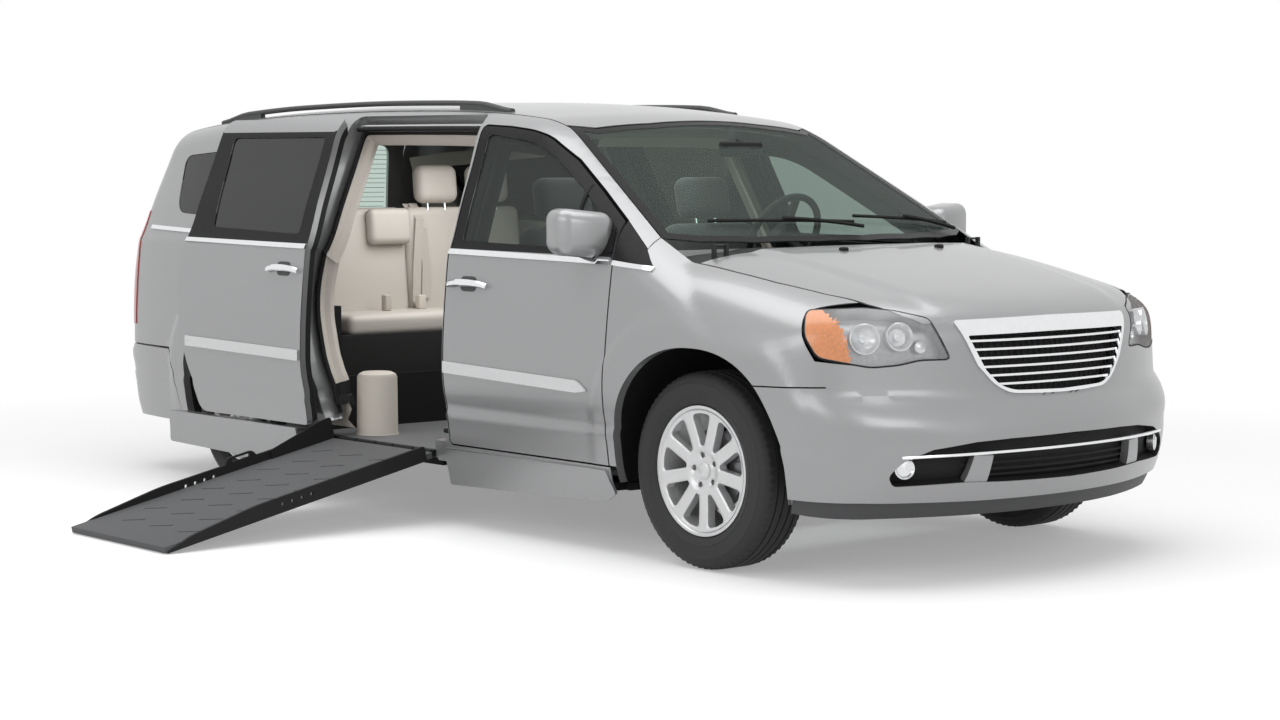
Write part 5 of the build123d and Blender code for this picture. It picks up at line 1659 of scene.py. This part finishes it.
# Headliner and inside mirror
liner_rim = on_top(
    cabin_body, divided(np.array([(-1.10, 0.60), (-1.10, -0.60), (-3.94, -0.60), (-3.94, 0.60)]), 0.06),
)
place("headliner", panel(cabin_body, Flat(0, 0, 1), liner_rim, out=-0.055, thick=0.004, step=0.07), "body", BEIGE)
mirror_inside = block((-0.79, -0.115, 1.485), (-0.765, 0.115, 1.545), 0.012)
mirror_stem = tube([(-0.785, 0.0, 1.54), (-0.80, 0.0, 1.548)], 0.009, sides=8)
place("inside_mirror", joined(mirror_inside, mirror_stem), "body", BLACK)

# Door track above the open doorway
# Heights at both ends, depth, radius and material
TRACK_BARS = ((1.618, 1.622, 0.030, 0.010, 0), (1.640, 1.644, 0.036, 0.007, 1))
track_bars = []
for z_front, z_rear, depth, radius, mark in TRACK_BARS:
    track_line = divided(np.array([(-1.57, z_front), (-2.45, z_rear)]), 0.05, closed=False)
    track_bars.append(tube(depth_ring(track_line, depth), radius, mark, sides=8))
track = joined(*track_bars)
place("door_track", flipped(track), "body", [BLACK_GLOSS, BRIGHT])

# Door hinges and the arms of the sliding doors
hinges = []
for hinge_z in (0.560, 0.780):
    hinges.append(block((-0.479, 0.862, hinge_z - 0.011), (-0.465, 0.982, hinge_z + 0.011), 0.004))
    hinges.append(tube([(-0.472, 0.984, hinge_z - 0.038), (-0.472, 0.984, hinge_z + 0.038)], 0.004, sides=10))
left_arm = block((-2.440, 0.888, 1.010), (-2.400, 0.902, 1.040), 0.004)
right_arm = block((-3.240, -1.012, 1.012), (-3.180, -0.972, 1.038), 0.005)
low_arm = block((-2.420, -1.004, 0.402), (-2.392, -0.964, 0.428), 0.005)
place(
    "door_hinges_arms", joined(both(joined(*hinges)), left_arm, right_arm, low_arm), "body", STEEL,
    ("door_hardware",),
)

# Materials for the solids that stay as they are
KEPT = {
    "floor": BLACK,
    "dashboard": GREY,
    "engine": IRON,
    "front_frame": STEEL,
    "rear_axle": STEEL,
    "exhaust": PIPE,
    "fuel_tank": BLACK,
    "ramp_sill": BLACK,
    "steering_wheel": BLACK,
    "knuckle_front_left": IRON,
    "knuckle_front_right": IRON,
}
for node, material in KEPT.items():
    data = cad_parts[node].data
    data.materials.clear()
    data.materials.append(material)

# Studio
CAMERA_PLACE = np.array([6.6338, -6.9394, 1.4499]) + ORIGIN
CAMERA_LOOK = Vector((-0.7544, 0.6518, -0.0771))
SKY_LIGHT = 0.46
FLOOR_GLOW = 0.30


def camera():
    data = bpy.data.cameras.new("camera")
    data.sensor_width = 36.0
    data.lens = 70.75
    data.clip_end = 100
    obj = bpy.data.objects.new("camera", data)
    obj.location = CAMERA_PLACE
    obj.rotation_euler = CAMERA_LOOK.to_track_quat("-Z", "Y").to_euler()
    bpy.context.scene.collection.objects.link(obj)
    bpy.context.scene.camera = obj


def floor_and_sky():
    mesh = bpy.data.meshes.new("studio_floor")
    reach, level_z = 40.0, -0.001
    corners = [(a * reach, b * reach, level_z) for a, b in ((-1, -1), (1, -1), (1, 1), (-1, 1))]
    mesh.from_pydata(corners, [], [(0, 1, 2, 3)])
    obj = bpy.data.objects.new("studio_floor", mesh)
    bpy.context.scene.collection.objects.link(obj)
    mesh.materials.append(floor_material())
    world = bpy.data.worlds.new("sky")
    bpy.context.scene.world = world
    world.use_nodes = True
    nodes, links = world.node_tree.nodes, world.node_tree.links
    background = nodes["Background"]
    background.inputs["Color"].default_value = (1, 1, 1, 1)
    level = nodes.new("ShaderNodeMix")
    level.inputs["A"].default_value = SKY_LIGHT
    level.inputs["B"].default_value = 1.0
    links.new(seen(nodes, links), level.inputs["Factor"])
    links.new(level.outputs["Result"], background.inputs["Strength"])


def seen(nodes, links):
    """1 for rays that show the background, from the camera, from gloss or through glass."""
    path = nodes.new("ShaderNodeLightPath")
    total = None
    for word in ("Is Camera Ray", "Is Glossy Ray", "Is Transmission Ray"):
        if total is None:
            total = path.outputs[word]
            continue
        add = nodes.new("ShaderNodeMath")
        add.operation = "MAXIMUM"
        links.new(total, add.inputs[0])
        links.new(path.outputs[word], add.inputs[1])
        total = add.outputs[0]
    return total


def floor_material():
    """Pale floor that fades into the white background away from the van."""
    mat = finish("studio floor", (0.80, 0.80, 0.80), rough=0.9, grain=2.0, change=0.004, gloss=0.1)
    nodes, links = mat.node_tree.nodes, mat.node_tree.links
    coords = nodes.new("ShaderNodeTexCoord")
    length = nodes.new("ShaderNodeVectorMath")
    length.operation = "LENGTH"
    links.new(coords.outputs["Object"], length.inputs[0])
    fade = nodes.new("ShaderNodeMapRange")
    fade.interpolation_type = "SMOOTHSTEP"
    fade.inputs["From Min"].default_value = 2.6
    fade.inputs["From Max"].default_value = 6.5
    links.new(length.outputs["Value"], fade.inputs["Value"])
    glow = nodes.new("ShaderNodeEmission")
    glow.inputs["Strength"].default_value = FLOOR_GLOW
    near = nodes.new("ShaderNodeAddShader")
    links.new(nodes["Principled BSDF"].outputs[0], near.inputs[0])
    links.new(glow.outputs[0], near.inputs[1])
    white = nodes.new("ShaderNodeEmission")
    shown = nodes.new("ShaderNodeMixShader")
    links.new(fade.outputs["Result"], shown.inputs["Fac"])
    links.new(near.outputs[0], shown.inputs[1])
    links.new(white.outputs[0], shown.inputs[2])
    chosen = nodes.new("ShaderNodeMixShader")
    links.new(seen(nodes, links), chosen.inputs["Fac"])
    links.new(nodes["Principled BSDF"].outputs[0], chosen.inputs[1])
    links.new(shown.outputs[0], chosen.inputs[2])
    links.new(chosen.outputs[0], nodes["Material Output"].inputs["Surface"])
    return mat


def lamp(name, place_at, aim, size, power):
    data = bpy.data.lights.new(name, "AREA")
    data.shape = "RECTANGLE"
    data.size, data.size_y = size
    data.energy = power
    obj = bpy.data.objects.new(name, data)
    obj.location = place_at
    obj.rotation_euler = (Vector(aim) - Vector(place_at)).to_track_quat("-Z", "Y").to_euler()
    bpy.context.scene.collection.objects.link(obj)


camera()
floor_and_sky()
# Name, place, aim, size and power
LAMPS = (
    ("overhead", (0.5, -0.5, 6.0), (0, 0, 0.8), (8.0, 5.0), 250),
    ("side", (1.0, -9.0, 4.2), (0, -0.5, 0.8), (9.0, 3.4), 150),
    ("front", (9.0, -1.5, 3.6), (1.5, 0, 0.7), (5.0, 3.0), 90),
)
for row in LAMPS:
    lamp(*row)
CABIN_LAMPS = (("cabin rear", -2.35, 9.0), ("cabin front", -1.25, 5.0))
for name, x, power in CABIN_LAMPS:
    spot = np.array([x, -0.10, 1.50]) + ORIGIN
    lamp(name, spot, spot - [0.05, 0, 1], (0.9, 0.8), power)
bpy.context.scene.view_settings.view_transform = "Standard"
